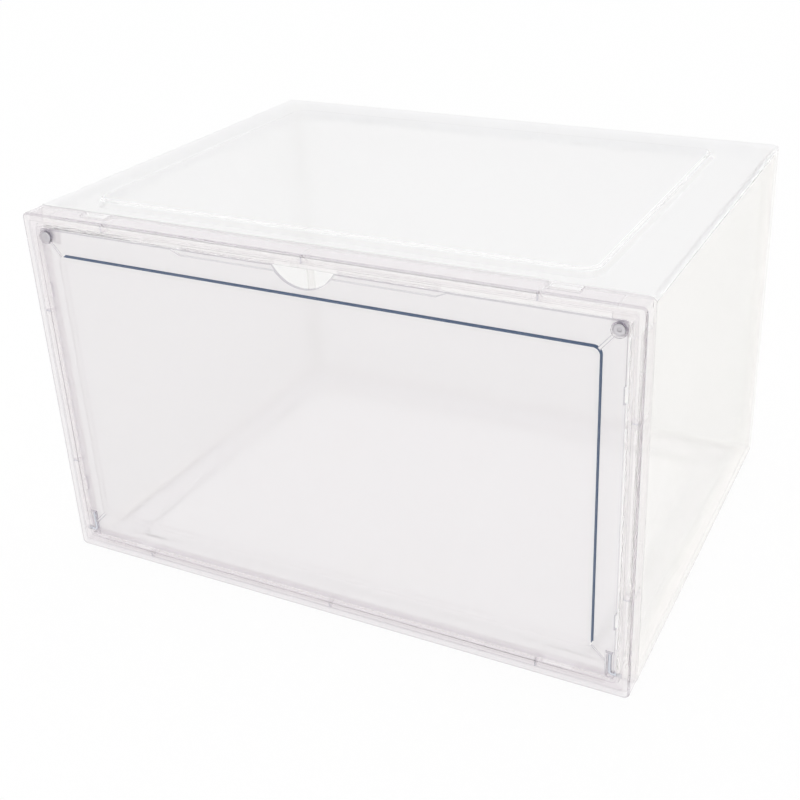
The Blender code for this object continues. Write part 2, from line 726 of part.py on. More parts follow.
def pin_path(side):
    """The bent pin's middle line: down the door's corner, round the bend, and out into the frame."""
    depth = FRONT + PIVOT_DEPTH
    centre = (PIN_X + PIN_BEND_RADIUS, PIVOT_Z + PIN_BEND_RADIUS)
    path = [(PIN_X, PIVOT_Z + PIN_LEG_HEIGHT)]
    for step in range(CORNER_STEPS + 1):
        angle = math.pi + 0.5 * math.pi * step / CORNER_STEPS
        path.append((centre[0] + PIN_BEND_RADIUS * math.cos(angle), centre[1] + PIN_BEND_RADIUS * math.sin(angle)))
    path.append((OPENING_HALF_WIDTH + PIN_REACH, PIVOT_Z))
    return [Vector((side * across, depth, height)) for across, height in path]


def make_hinge_pin(name, material, side, pivot, parent):
    """A bent steel pin: a round section carried along its path, square at both ends."""
    path = pin_path(side)
    loops = []
    for index, point in enumerate(path):
        before = path[max(index - 1, 0)]
        after = path[min(index + 1, len(path) - 1)]
        along = (after - before).normalized()
        sideways = Vector((0.0, 1.0, 0.0))
        upward = along.cross(sideways)
        loops.append([
            point + PIN_RADIUS * (math.cos(angle) * sideways + math.sin(angle) * upward)
            for angle in (2 * math.pi * step / PIN_SIDES for step in range(PIN_SIDES))
        ])
    pin = loft(name, loops, False)
    return finish(pin, name, material, pivot, parent)


def main():
    """Build the whole box."""
    clear_scene()
    body_plastic = plastic("clear_body_plastic", (0.94, 0.95, 0.95), 0.06, 0.35)
    frame_plastic = plastic("clear_frame_plastic", (0.90, 0.89, 0.91), 0.06, 0.40)
    door_plastic = plastic("clear_door_plastic", (0.93, 0.94, 0.96), 0.05, 0.35)
    nickel = metal("nickel_plate", (0.62, 0.63, 0.65), 0.22)
    steel = metal("pin_steel", (0.60, 0.63, 0.68), 0.25)

    pivot = Vector((0.0, FRONT + PIVOT_DEPTH, PIVOT_Z))
    door_hinge = bpy.data.objects.new("door_hinge_axis", None)
    bpy.context.scene.collection.objects.link(door_hinge)
    door_hinge.location = pivot

    make_front_frame(frame_plastic)
    make_door_panel(door_plastic, pivot, door_hinge)
    make_stacking_panel("top_panel", body_plastic, True)
    make_stacking_panel("bottom_panel", body_plastic, False)
    make_back_panel(body_plastic)
    for label, side in SIDES.items():
        make_side_panel(label + "_panel", body_plastic, side)
        make_magnet("door_magnet_" + label, nickel, side, DOOR_BACK_DEPTH - MAGNET_THICKNESS, pivot, door_hinge)
        make_magnet("frame_magnet_" + label, nickel, side, STOP_DEPTH)
        make_hinge_pin("hinge_pin_" + label, steel, side, pivot, door_hinge)


if __name__ == "__main__":
    main()
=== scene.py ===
"""Clear drop-front storage box: its moulded pieces, their finishes and a plain white studio.

Metres, +Z up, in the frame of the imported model: the origin is on the ground under the middle of the box and the door
faces -Y. A depth runs back from the frame's front face, an inset runs in from an outline, and a sink runs in from the
outer face of the top or bottom panel.
"""
import logging
import math
from collections.abc import Callable
from dataclasses import astuple, dataclass, replace
from enum import Enum, IntEnum
import bmesh
import bpy
import numpy as np
from mathutils import Matrix, Vector


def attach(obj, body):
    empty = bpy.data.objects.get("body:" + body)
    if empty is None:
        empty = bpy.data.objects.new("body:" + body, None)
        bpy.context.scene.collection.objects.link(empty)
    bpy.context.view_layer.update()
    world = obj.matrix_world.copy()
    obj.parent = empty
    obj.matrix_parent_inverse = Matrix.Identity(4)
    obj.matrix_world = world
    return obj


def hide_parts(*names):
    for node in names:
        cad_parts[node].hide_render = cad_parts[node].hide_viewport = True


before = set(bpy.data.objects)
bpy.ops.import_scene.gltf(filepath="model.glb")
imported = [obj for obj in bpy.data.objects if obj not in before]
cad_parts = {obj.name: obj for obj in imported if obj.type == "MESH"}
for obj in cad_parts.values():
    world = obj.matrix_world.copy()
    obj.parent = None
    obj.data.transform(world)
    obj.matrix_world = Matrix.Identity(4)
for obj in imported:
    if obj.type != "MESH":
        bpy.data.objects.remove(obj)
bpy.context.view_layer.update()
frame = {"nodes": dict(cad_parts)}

LOG = logging.getLogger("storage_box")

# Chords in a rounded corner, in a fillet and round a circle
CORNER_STEPS = 14
FILLET_STEPS = 5
ROUND_STEPS = 64
FILLET_POINTS = FILLET_STEPS + 1
# How far a welded form reaches into its piece, and how far a cut runs past it
WELD = 0.0004
OVERRUN = 0.0020
# Points closer than SLIVER merge. A corner is never sharper than LEAST_RADIUS
SLIVER = 0.000008
LEAST_RADIUS = 0.00005
# The spans that count as a bend, by their length and slant
TIGHT_SPAN = 0.0003
WIDE_SPAN = 0.0004
TIGHT_SLANT = 0.3
WIDE_SLANT = 0.6
# Half of a corner's angle stays between these where it is rounded
SHARPEST_HALF = 0.05
BLUNTEST_HALF = 0.5 * math.pi - 0.001
# Keeps a length that is divided by from being nought
TINY = 1e-12
# Edges that turn by less than this are shaded smooth
SMOOTH_ANGLE = math.radians(34.0)
WHITE = (1.0, 1.0, 1.0, 1.0)

Colour = tuple[float, float, float]
Point = tuple[float, float, float]


class Side(Enum):
    """The side of the box, as the sign of its X."""

    LEFT = -1
    RIGHT = 1

    @property
    def label(self) -> str:
        """The side's name in plain words."""
        return self.name.lower()

    def span(self, near: float, far: float) -> tuple[float, float]:
        """A stretch of X given for the right-hand side, moved to this side, its low end first."""
        low, high = sorted((self.value * near, self.value * far))
        return low, high


class Level(Enum):
    """Which of the two stacking panels a piece is."""

    TOP = "top"
    BOTTOM = "bottom"


class Plane(Enum):
    """The plane of an outline: the axes of its two coordinates, then the axis it is carried along."""

    FRONT = (0, 2, 1)
    PLAN = (0, 1, 2)
    SIDE = (1, 2, 0)


class Layer(IntEnum):
    """Which of a piece's finishes a face has: the plain one, that of its edges (a dark painted shade on the frame and
    door), a painted mark of shade or highlight, painted shade, or painted light.
    """

    PLAIN = 0
    EDGE = 1
    # Dark lines painted where refraction shades the frame and door, and a painted highlight on the panels' field bend
    ACCENT = 2
    # Painted shade on faces that rest on the ground and on the frame's outer faces but the right one
    FOOT = 3
    # Painted light on the frame's left side behind the lip and on the side slopes of the panels' step
    FLANK = 4


class Quarter(IntEnum):
    """The side of a rounded rectangle."""

    LOW = 0
    RIGHT = 1
    HIGH = 2
    LEFT = 3


# The side that each column of points round a rounded rectangle is nearest to, and the columns of left and right
QUARTERS = (np.arange(4 * (CORNER_STEPS + 1)) - CORNER_STEPS // 2) // (CORNER_STEPS + 1) % 4
FLANKS = QUARTERS % 2 == Quarter.RIGHT
# The columns of faces from the foot of the right side, round the high right corner, to the end of the high side
RIGHT_AND_HIGH = slice(2 * (CORNER_STEPS + 1) - 1, 3 * (CORNER_STEPS + 1))


# Surfaces


@dataclass
class Skin:
    """A closed surface: points (n, 3), faces as lists of point numbers, and a finish number for each face."""

    points: np.ndarray
    faces: list[list[int]]
    finishes: np.ndarray

    def all_in(self, layer: Layer) -> "Skin":
        """Give every face one finish."""
        self.finishes[:] = layer
        return self

    def grid(self, count: int) -> np.ndarray:
        """The finish numbers (rows, count) of a skinned grid with this many columns, without its caps."""
        return self.finishes[:len(self.finishes) // count * count].reshape(-1, count)


def unit(vectors: np.ndarray) -> np.ndarray:
    """Scale each vector to length one."""
    return vectors / np.linalg.norm(vectors, axis=-1, keepdims=True)


def skin_over(loops: np.ndarray, ring: bool = False) -> Skin:
    """Skin a grid of points (rows, count, 3).

    Point (i, j) makes a four-sided face with (i, j + 1), (i + 1, j + 1) and (i + 1, j). The count always closes on
    itself.

    Args:
        loops: the grid of points, one closed loop per row.
        ring: whether the last row joins the first. Otherwise one flat face caps each end.

    Returns:
        The closed surface, its faces in row order and its caps last.
    """
    rows, count = loops.shape[:2]
    row, column = np.meshgrid(np.arange(rows if ring else rows - 1), np.arange(count), indexing="ij")
    next_row, next_column = (row + 1) % rows, (column + 1) % count
    corners = (row * count + column, row * count + next_column,
               next_row * count + next_column, next_row * count + column)
    faces = np.stack(corners, axis=-1).reshape(-1, 4).tolist()
    if not ring:
        faces.append(list(range(count))[::-1])
        faces.append(list(range((rows - 1) * count, rows * count)))
    return Skin(loops.reshape(-1, 3), faces, np.zeros(len(faces), dtype=np.int32))


def together(skins: list[Skin]) -> Skin:
    """Put surfaces that don't touch into one."""
    starts = np.cumsum([0] + [len(skin.points) for skin in skins])
    faces = [[index + int(start) for index in face] for skin, start in zip(skins, starts) for face in skin.faces]
    return Skin(np.concatenate([skin.points for skin in skins]), faces,
                np.concatenate([skin.finishes for skin in skins]))


def both(form: Callable[[Side], Skin]) -> Skin:
    """Put the left and the right one of a form into one surface."""
    return together([form(side) for side in Side])


def rounded_rectangles(half_width: np.ndarray, low: np.ndarray, high: np.ndarray, low_radius: np.ndarray,
                       high_radius: np.ndarray) -> np.ndarray:
    """Points round rectangles with rounded corners, anticlockwise from the low left corner.

    A corner's points are its centre plus the radius times (cos t, sin t), with t over a quarter turn. The centre lies
    one radius in from both sides.

    Args:
        half_width: half of each rectangle's width.
        low: the place of each low side.
        high: the place of each high side.
        low_radius: the radius of the two corners on the low side.
        high_radius: the radius of the two corners on the high side.

    Returns:
        An array (rectangles, 4 * (CORNER_STEPS + 1), 2).
    """
    sizes = np.broadcast_arrays(*(np.atleast_1d(size) for size in (half_width, low, high, low_radius, high_radius)))
    half_width, low, high, low_radius, high_radius = (size[:, None] for size in sizes)
    angles = np.pi * np.array([1.0, 1.5, 0.0, 0.5])[:, None] + 0.5 * np.pi * np.linspace(0.0, 1.0, CORNER_STEPS + 1)
    radii = np.maximum(np.concatenate((low_radius, low_radius, high_radius, high_radius), axis=1), LEAST_RADIUS)
    centre_across = np.array([-1.0, 1.0, 1.0, -1.0]) * (half_width - radii)
    centre_along = np.concatenate((low + radii[:, :2], high - radii[:, 2:]), axis=1)
    across = centre_across[..., None] + radii[..., None] * np.cos(angles)
    along = centre_along[..., None] + radii[..., None] * np.sin(angles)
    return np.stack((across, along), axis=-1).reshape(len(radii), -1, 2)


def rounded_path(corners: list[Point], closed: bool = True) -> np.ndarray:
    """Replace each corner of a path by an arc that touches both of its sides.

    With u and v the unit vectors from the corner to its neighbours and a half of the angle between them, the arc
    starts radius / tan(a) along u, ends as far along v, and has its centre radius / sin(a) along the bisector. A
    point on it is the centre plus the spherical blend of the first and last spokes.

    Args:
        corners: the two coordinates and the radius of each corner. The ends of an open path stay sharp.
        closed: whether the path closes on itself.

    Returns:
        The points of the rounded path (n, 2).
    """
    table = np.asarray(corners, dtype=float)
    corner, radius = table[:, :2], np.maximum(table[:, 2], LEAST_RADIUS)
    before = unit(np.roll(corner, 1, axis=0) - corner)
    after = unit(np.roll(corner, -1, axis=0) - corner)
    half = 0.5 * np.arccos(np.clip((before * after).sum(axis=1), -1.0, 1.0))
    half = np.clip(half, SHARPEST_HALF, BLUNTEST_HALF)
    centre = corner + unit(before + after + TINY) * (radius / np.sin(half))[:, None]
    reach = (radius / np.tan(half))[:, None]
    first = corner + before * reach - centre
    last = corner + after * reach - centre
    sweep = (np.pi - 2.0 * half)[:, None]
    share = np.linspace(0.0, 1.0, FILLET_POINTS)
    weights = np.stack((np.sin((1.0 - share) * sweep), np.sin(share * sweep))) / np.sin(sweep)
    arcs = centre[:, None] + weights[0][..., None] * first[:, None] + weights[1][..., None] * last[:, None]
    if closed:
        return arcs.reshape(-1, 2)
    return np.concatenate((corner[:1], arcs[1:-1].reshape(-1, 2), corner[-1:]))


def flange_outline(edge: float, root: float, low: float, high: float, radius: float) -> np.ndarray:
    """The outline of a flange from its rounded free edge to its square root, between two heights."""
    return rounded_path([(edge, low, radius), (root, low, LEAST_RADIUS), (root, high, LEAST_RADIUS),
                         (edge, high, radius)])


def mark_bends(grid: np.ndarray, path: np.ndarray, rows: slice) -> None:
    """Give the finish for edges to the bends of a carried path.

    A span of the path is part of a tight bend where it is shorter than TIGHT_SPAN and its smaller component is over
    TIGHT_SLANT of its length. Of a wider bend, up to WIDE_SPAN, only the steepest span counts.

    Args:
        grid: the finish numbers of the surface, one row for each span.
        path: the path (n, 2).
        rows: the spans that are looked at.
    """
    span = np.roll(path, -1, axis=0) - path
    length = np.maximum(np.linalg.norm(span, axis=1), TINY)
    slant = np.abs(span).min(axis=1) / length
    bend = ((length < TIGHT_SPAN) & (slant > TIGHT_SLANT)) | ((length < WIDE_SPAN) & (slant > WIDE_SLANT))
    grid[rows][bend[rows]] = Layer.EDGE


def carried(outline: np.ndarray, start: float, end: float, plane: Plane) -> Skin:
    """Carry an outline (n, 2) straight along the third axis, from start to end, and cap both ends."""
    across, along, carry = plane.value
    loops = np.empty((2, len(outline), 3))
    loops[..., across] = outline[:, 0]
    loops[..., along] = outline[:, 1]
    loops[..., carry] = np.array([[start], [end]])
    return skin_over(loops)


def block(low: Point, high: Point) -> Skin:
    """A box between two corners, used to weld on or to cut away."""
    outline = np.array([(low[0], low[2]), (high[0], low[2]), (high[0], high[2]), (low[0], high[2])])
    return carried(outline, low[1], high[1], Plane.FRONT)


def block_on(side: Side, low: Point, high: Point) -> Skin:
    """A box given for the right-hand side (+X), made on the side asked for."""
    near, far = side.span(low[0], high[0])
    return block((near, low[1], low[2]), (far, high[1], high[2]))


def turned(profile: np.ndarray, centre: tuple[float, float], plane: Plane, steps: int = ROUND_STEPS) -> Skin:
    """Turn a profile (n, 2) of radius and place about an axis, and close its two ends with flat faces.

    A point is the centre plus the radius times (cos t, sin t) in the plane, at its place along the third axis.

    Args:
        profile: the radius and place of each ring.
        centre: where the axis crosses the plane.
        plane: the plane of the rings.
        steps: the points in a ring.

    Returns:
        The closed surface.
    """
    across, along, carry = plane.value
    angle = 2.0 * np.pi * np.arange(steps) / steps
    loops = np.empty((len(profile), steps, 3))
    loops[..., across] = centre[0] + profile[:, :1] * np.cos(angle)
    loops[..., along] = centre[1] + profile[:, :1] * np.sin(angle)
    loops[..., carry] = profile[:, 1:]
    return skin_over(loops)


def bar(centre: tuple[float, float], radius: float, start: float, end: float, plane: Plane,
        steps: int = ROUND_STEPS) -> Skin:
    """A plain round bar across a plane, from start to end."""
    return turned(np.array([(radius, start), (radius, end)]), centre, plane, steps)


class Solid:
    """A moulding in the making: one closed mesh that other surfaces are welded to and cut from."""

    def __init__(self, skin: Skin, finishes: list[bpy.types.Material]) -> None:
        """Start from a closed surface, whose finish numbers count through the finishes."""
        self.finishes = finishes
        self.part = self._object("moulding", skin)

    def _object(self, name: str, skin: Skin) -> bpy.types.Object:
        """Put a surface into a mesh object with its faces pointing out."""
        mesh = bpy.data.meshes.new(name)
        mesh.from_pydata(skin.points.tolist(), [], skin.faces)
        for finish in self.finishes:
            mesh.materials.append(finish)
        mesh.polygons.foreach_set("material_index", skin.finishes)
        builder = bmesh.new()
        builder.from_mesh(mesh)
        bmesh.ops.recalc_face_normals(builder, faces=builder.faces)
        builder.to_mesh(mesh)
        builder.free()
        part = bpy.data.objects.new(name, mesh)
        bpy.context.scene.collection.objects.link(part)
        return part

    def _combine(self, skin: Skin, operation: str) -> None:
        """Join a surface to the solid, or take it away."""
        tool = self._object("tool", skin)
        modifier = self.part.modifiers.new(operation, "BOOLEAN")
        modifier.operation = operation
        modifier.solver = "EXACT"
        modifier.object = tool
        bpy.context.view_layer.update()
        shaped = bpy.data.meshes.new_from_object(self.part.evaluated_get(bpy.context.evaluated_depsgraph_get()))
        self.part.modifiers.remove(modifier)
        old = self.part.data
        self.part.data = shaped
        bpy.data.meshes.remove(old)
        bpy.data.objects.remove(tool, do_unlink=True)

    def weld(self, *skins: Skin) -> "Solid":
        """Join each surface to the solid."""
        for skin in skins:
            self._combine(skin, "UNION")
        return self

    def cut(self, *skins: Skin) -> "Solid":
        """Take each surface out of the solid."""
        for skin in skins:
            self._combine(skin, "DIFFERENCE")
        return self

    @staticmethod
    def break_edges(builder: bmesh.types.BMesh, rim: float) -> None:
        """Put a chamfer this wide, in the finish for edges, on every sharp edge, and keep it in the piece's own box."""
        places = np.array([vertex.co for vertex in builder.verts])
        low, high = places.min(axis=0), places.max(axis=0)
        sharp = [edge for edge in builder.edges if edge.is_manifold and edge.calc_face_angle() > SMOOTH_ANGLE]
        bmesh.ops.bevel(builder, geom=sharp, offset=rim, offset_type="OFFSET", segments=1, profile=0.5,
                        affect="EDGES", clamp_overlap=False, material=Layer.EDGE)
        for vertex in builder.verts:
            vertex.co = np.clip(vertex.co, low, high)

    def finished(self, name: str, rim: float) -> bpy.types.Object:
        """Tidy the mesh and shade its rounds smooth with its flats flat.

        Args:
            name: the name of the finished piece.
            rim: how wide its sharp edges are broken.

        Returns:
            The finished object.
        """
        mesh = self.part.data
        builder = bmesh.new()
        builder.from_mesh(mesh)
        bmesh.ops.remove_doubles(builder, verts=builder.verts, dist=SLIVER)
        bmesh.ops.dissolve_degenerate(builder, dist=SLIVER, edges=builder.edges)
        if rim:
            self.break_edges(builder, rim)
        builder.to_mesh(mesh)
        builder.free()
        self.part.name = name
        mesh.name = name
        mesh.shade_smooth()
        mesh.set_sharp_from_angle(angle=SMOOTH_ANGLE)
        normals = self.part.modifiers.new("flat_faces_stay_flat", "WEIGHTED_NORMAL")
        normals.mode = "FACE_AREA"
        normals.weight = 100
        normals.keep_sharp = True
        return self.part


# Sizes that several pieces share


@dataclass(frozen=True)
class BoxSizes:
    """The sizes of the box that several pieces share."""

    half_width: float = 0.180
    front: float = -0.140
    back: float = 0.140
    height: float = 0.220
    gap: float = 0.0003
    wall: float = 0.0024
    edge_radius: float = 0.0021
    corner_radius: float = 0.0030
    seam_break: float = 0.0003
    edge_fillet: float = 0.0003
    frame_depth: float = 0.0140
    frame_wall: float = 0.0018
    lip_width: float = 0.0078
    band_step: float = 0.0008
    rib_thickness: float = 0.0012
    long_rib_spacing: float = 0.1270
    short_rib_spacing: float = 0.0500
    tab_width: float = 0.0164
    tab_reach: float = 0.0062
    tab_offset: float = 0.1370
    tongue_thickness: float = 0.0020
    tongue_reach: float = 0.0095
    tongue_root: float = 0.0055
    tongue_corner_margin: float = 0.0150
    tongue_rib_clearance: float = 0.0006
    flange_reach: float = 0.0100
    door_gap: float = 0.0014
    door_wall: float = 0.0020
    door_border_depth: float = 0.0020
    magnet_radius: float = 0.0030
    magnet_thickness: float = 0.0020
    magnet_inset: tuple[float, float] = (0.0042, 0.0043)
    pin_radius: float = 0.0010
    pin_reach: float = 0.0026
    pin_inset: float = 0.0026
    pin_leg: float = 0.0125
    pin_bend_radius: float = 0.0018
    pivot_depth: float = 0.0026
    pivot_rise: float = 0.0028

    @property
    def panel_front(self) -> float:
        """Where the panels meet the frame."""
        return self.front + self.frame_depth + self.gap

    @property
    def opening(self) -> tuple[float, float, float]:
        """The frame's opening: half width, bottom and top."""
        return self.half_width - self.lip_width, self.lip_width, self.height - self.lip_width

    @property
    def door(self) -> tuple[float, float, float]:
        """The door's outline: half width, bottom and top."""
        half_width, bottom, top = self.opening
        return half_width - self.door_gap, bottom + self.door_gap, top - self.door_gap

    @property
    def door_back_depth(self) -> float:
        """The depth of the back of the door's border."""
        return self.door_border_depth + self.door_wall

    @property
    def stop_depth(self) -> float:
        """The depth of the frame's stops behind the door."""
        return self.door_back_depth + self.gap

    def magnet_centre(self, side: Side) -> tuple[float, float]:
        """The magnet's middle, across and up."""
        return side.value * (self.door[0] - self.magnet_inset[0]), self.door[2] - self.magnet_inset[1]

    @property
    def pocket(self) -> tuple[float, float]:
        """The radius and depth of a magnet's pocket."""
        return self.magnet_radius + self.gap, self.magnet_thickness + self.gap

    @property
    def pin_place(self) -> tuple[float, float]:
        """The pin's upright leg across, and the height of the pivot."""
        return self.door[0] - self.pin_inset, self.door[1] + self.pivot_rise

    @property
    def bore_radius(self) -> float:
        """The radius of the pin's bore, and half the width of its groove."""
        return self.pin_radius + self.gap

    @property
    def long_ribs(self) -> tuple[float, ...]:
        """Where ribs cross the frame's long rails."""
        return -self.long_rib_spacing, 0.0, self.long_rib_spacing

    @property
    def short_ribs(self) -> tuple[float, ...]:
        """How high ribs cross the frame's upright rails."""
        return self.height / 2 - self.short_rib_spacing, self.height / 2 + self.short_rib_spacing

    def tongue_blocks(self, low: float, high: float, ribs: tuple[float, ...]) -> list[tuple[Point, Point]]:
        """Split a tongue where the frame's ribs cross it.

        Args:
            low: the start of the edge that the tongue runs along.
            high: its end.
            ribs: the middles of the ribs.

        Returns:
            Two corners of each stretch, as the place along the edge, the Y, and the sink.
        """
        half = self.rib_thickness / 2 + self.tongue_rib_clearance
        middles = np.asarray(ribs)
        edges = np.concatenate(([low + self.tongue_corner_margin],
                                np.stack((middles - half, middles + half), axis=1).ravel(),
                                [high - self.tongue_corner_margin]))
        near = self.frame_wall + self.gap
        front, back = self.panel_front - self.tongue_reach, self.panel_front + self.tongue_root
        return [((start, front, near), (end, back, near + self.tongue_thickness))
                for start, end in edges.reshape(-1, 2).tolist()]


# Finishes


def feed(node: bpy.types.Node, values: dict[str | int, object]) -> None:
    """Give each named input its constant, or link it to the output that is given for it."""
    for name, value in values.items():
        if isinstance(value, bpy.types.NodeSocket):
            node.id_data.links.new(value, node.inputs[name])
        else:
            node.inputs[name].default_value = value


def add_node(tree: bpy.types.NodeTree, kind: str, values: dict[str | int, object] | None = None,
             **settings: object) -> bpy.types.Node:
    """Add a node to a tree.

    Args:
        tree: the tree.
        kind: the node's type, without its first word ShaderNode.
        values: a constant or another node's output for each input that needs one.
        settings: the node's own settings.

    Returns:
        The node.
    """
    node = tree.nodes.new("ShaderNode" + kind)
    for name, value in settings.items():
        setattr(node, name, value)
    feed(node, values or {})
    return node


RIPPLE_DETAIL = 2.0
SMUDGE_DETAIL, SMUDGE_ROUGHNESS, SMUDGE_DISTORTION = 7.0, 0.62, 0.8
# How far over its threshold a smudge is full
SMUDGE_RISE = 0.16
SCRATCH_TURN, SCRATCH_STRETCH, SCRATCH_DETAIL = (0.4, 0.7, 0.5), (1.0, 22.0, 9.0), 3.0
# Where a scratch starts, where it is full, and how strong it is then
SCRATCH_START, SCRATCH_FULL, SCRATCH_STRENGTH = 0.68, 0.76, 0.3
WEAR_INPUTS = ("Ripple Scale", "Smudge Scale", "Smudge Level", "Scratch Scale", "Clean Roughness", "Worn Roughness")


def surface_wear_group() -> bpy.types.NodeTree:
    """The shared surface effect: mould ripple, handling smudges and fine scratches, on object coordinates.

    Ripple is a slow noise. A smudge is where a second noise rises over its threshold. A scratch is where a stretched
    and turned noise peaks.

    Returns:
        A node group with the outputs Roughness, Haze and Height.
    """
    group = bpy.data.node_groups.new("surface_wear", "ShaderNodeTree")
    for direction, names in (("INPUT", WEAR_INPUTS), ("OUTPUT", ("Roughness", "Haze", "Height"))):
        for name in names:
            group.interface.new_socket(name=name, in_out=direction, socket_type="NodeSocketFloat")
    given = group.nodes.new("NodeGroupInput")
    place = add_node(group, "TexCoord").outputs["Object"]
    ripple = add_node(group, "TexNoise", {
        "Vector": place, "Scale": given.outputs["Ripple Scale"], "Detail": RIPPLE_DETAIL})
    smudge = add_node(group, "TexNoise", {
        "Vector": place, "Scale": given.outputs["Smudge Scale"], "Detail": SMUDGE_DETAIL,
        "Roughness": SMUDGE_ROUGHNESS, "Distortion": SMUDGE_DISTORTION})
    full_smudge = add_node(group, "Math", {0: given.outputs["Smudge Level"], 1: SMUDGE_RISE}, operation="ADD")
    smudges = add_node(group, "MapRange", {
        "Value": smudge.outputs["Fac"], "From Min": given.outputs["Smudge Level"],
        "From Max": full_smudge.outputs[0]}, interpolation_type="SMOOTHSTEP")
    stretch = add_node(group, "Mapping", {"Vector": place, "Rotation": SCRATCH_TURN, "Scale": SCRATCH_STRETCH})
    ridge = add_node(group, "TexNoise", {
        "Vector": stretch.outputs["Vector"], "Scale": given.outputs["Scratch Scale"], "Detail": SCRATCH_DETAIL})
    scratches = add_node(group, "MapRange", {
        "Value": ridge.outputs["Fac"], "From Min": SCRATCH_START, "From Max": SCRATCH_FULL,
        "To Max": SCRATCH_STRENGTH})
    haze = add_node(group, "Math", {0: smudges.outputs["Result"], 1: scratches.outputs["Result"]},
                    operation="MAXIMUM")
    roughness = add_node(group, "MapRange", {
        "Value": haze.outputs[0], "To Min": given.outputs["Clean Roughness"],
        "To Max": given.outputs["Worn Roughness"]})
    height = add_node(group, "Math", {0: ripple.outputs["Fac"], 1: scratches.outputs["Result"]},
                      operation="SUBTRACT")
    feed(group.nodes.new("NodeGroupOutput"), {
        "Roughness": roughness.outputs["Result"], "Haze": haze.outputs[0], "Height": height.outputs[0]})
    return group


@dataclass(frozen=True)
class Wear:
    """How worn a surface is. All but the bump, the height of its ripple, are inputs of the shared effect in order."""

    ripple_scale: float
    smudge_scale: float
    smudge_level: float
    scratch_scale: float
    clean_roughness: float
    worn_roughness: float
    bump: float

    def place(self, shader: bpy.types.Node, clean: Colour, worn: Colour) -> None:
        """Put the shared wear into a material and join it to the shader's colour, roughness and normal.

        Args:
            shader: the material's Principled BSDF.
            clean: the colour of the clean surface.
            worn: the colour of the smudges and scratches.
        """
        tree = shader.id_data
        shared = bpy.data.node_groups.get("surface_wear") or surface_wear_group()
        wear = add_node(tree, "Group", node_tree=shared)
        feed(wear, dict(zip(WEAR_INPUTS, astuple(self)[:-1], strict=True)))
        colour = add_node(tree, "Mix", {"A": (*clean, 1.0), "B": (*worn, 1.0), "Factor": wear.outputs["Haze"]},
                          data_type="RGBA")
        bump = add_node(tree, "Bump", {"Strength": 1.0, "Distance": self.bump, "Height": wear.outputs["Height"]})
        feed(shader, {"Base Color": colour.outputs["Result"], "Roughness": wear.outputs["Roughness"],
                      "Normal": bump.outputs["Normal"]})


def blank_material(name: str) -> tuple[bpy.types.Material, bpy.types.Node]:
    """A new material with nodes, and its Principled BSDF."""
    material = bpy.data.materials.new(name)
    material.use_nodes = True
    return material, material.node_tree.nodes["Principled BSDF"]


def blend_surface(tree: bpy.types.NodeTree, share: bpy.types.NodeSocket, other: bpy.types.NodeSocket) -> None:
    """Show this share of another shader in place of a material's Principled BSDF."""
    own = tree.nodes["Principled BSDF"].outputs["BSDF"]
    either = add_node(tree, "MixShader", {0: share, 1: own, 2: other})
    feed(tree.nodes["Material Output"], {"Surface": either.outputs["Shader"]})


@dataclass(frozen=True)
class ClearPlastic:
    """Clear moulded plastic: a tint, the tint of its smudges, and how much of it is clear and how much milky."""

    name: str
    tint: Colour
    smudge_tint: Colour
    clarity: float
    refraction: float
    wear: Wear

    def material(self) -> bpy.types.Material:
        """Build the plastic. Lamps shine through it, tinted as the light that it lets through."""
        material, shader = blank_material(self.name)
        tree = material.node_tree
        self.wear.place(shader, self.tint, self.smudge_tint)
        feed(shader, {"Metallic": 0.0, "IOR": self.refraction, "Transmission Weight": self.clarity})
        through = add_node(tree, "BsdfTransparent", {"Color": (*(channel ** 0.5 for channel in self.tint), 1.0)})
        blend_surface(tree, add_node(tree, "LightPath").outputs["Is Shadow Ray"], through.outputs["BSDF"])
        return material


@dataclass(frozen=True)
class OpaqueFinish:
    """A metal or a solid tint: its colour clean and worn, and how metallic it is."""

    name: str
    colour: Colour
    worn_colour: Colour
    metallic: float
    wear: Wear

    def material(self) -> bpy.types.Material:
        """Build the finish."""
        material, shader = blank_material(self.name)
        self.wear.place(shader, self.colour, self.worn_colour)
        feed(shader, {"Metallic": self.metallic})
        return material


PANEL_WEAR = Wear(30.0, 26.0, 0.66, 14.0, 0.24, 0.34, 0.000015)
SATIN_WEAR = Wear(30.0, 26.0, 0.62, 14.0, 0.36, 0.46, 0.000015)
GLOSS_WEAR = Wear(60.0, 40.0, 0.70, 20.0, 0.04, 0.12, 0.000005)


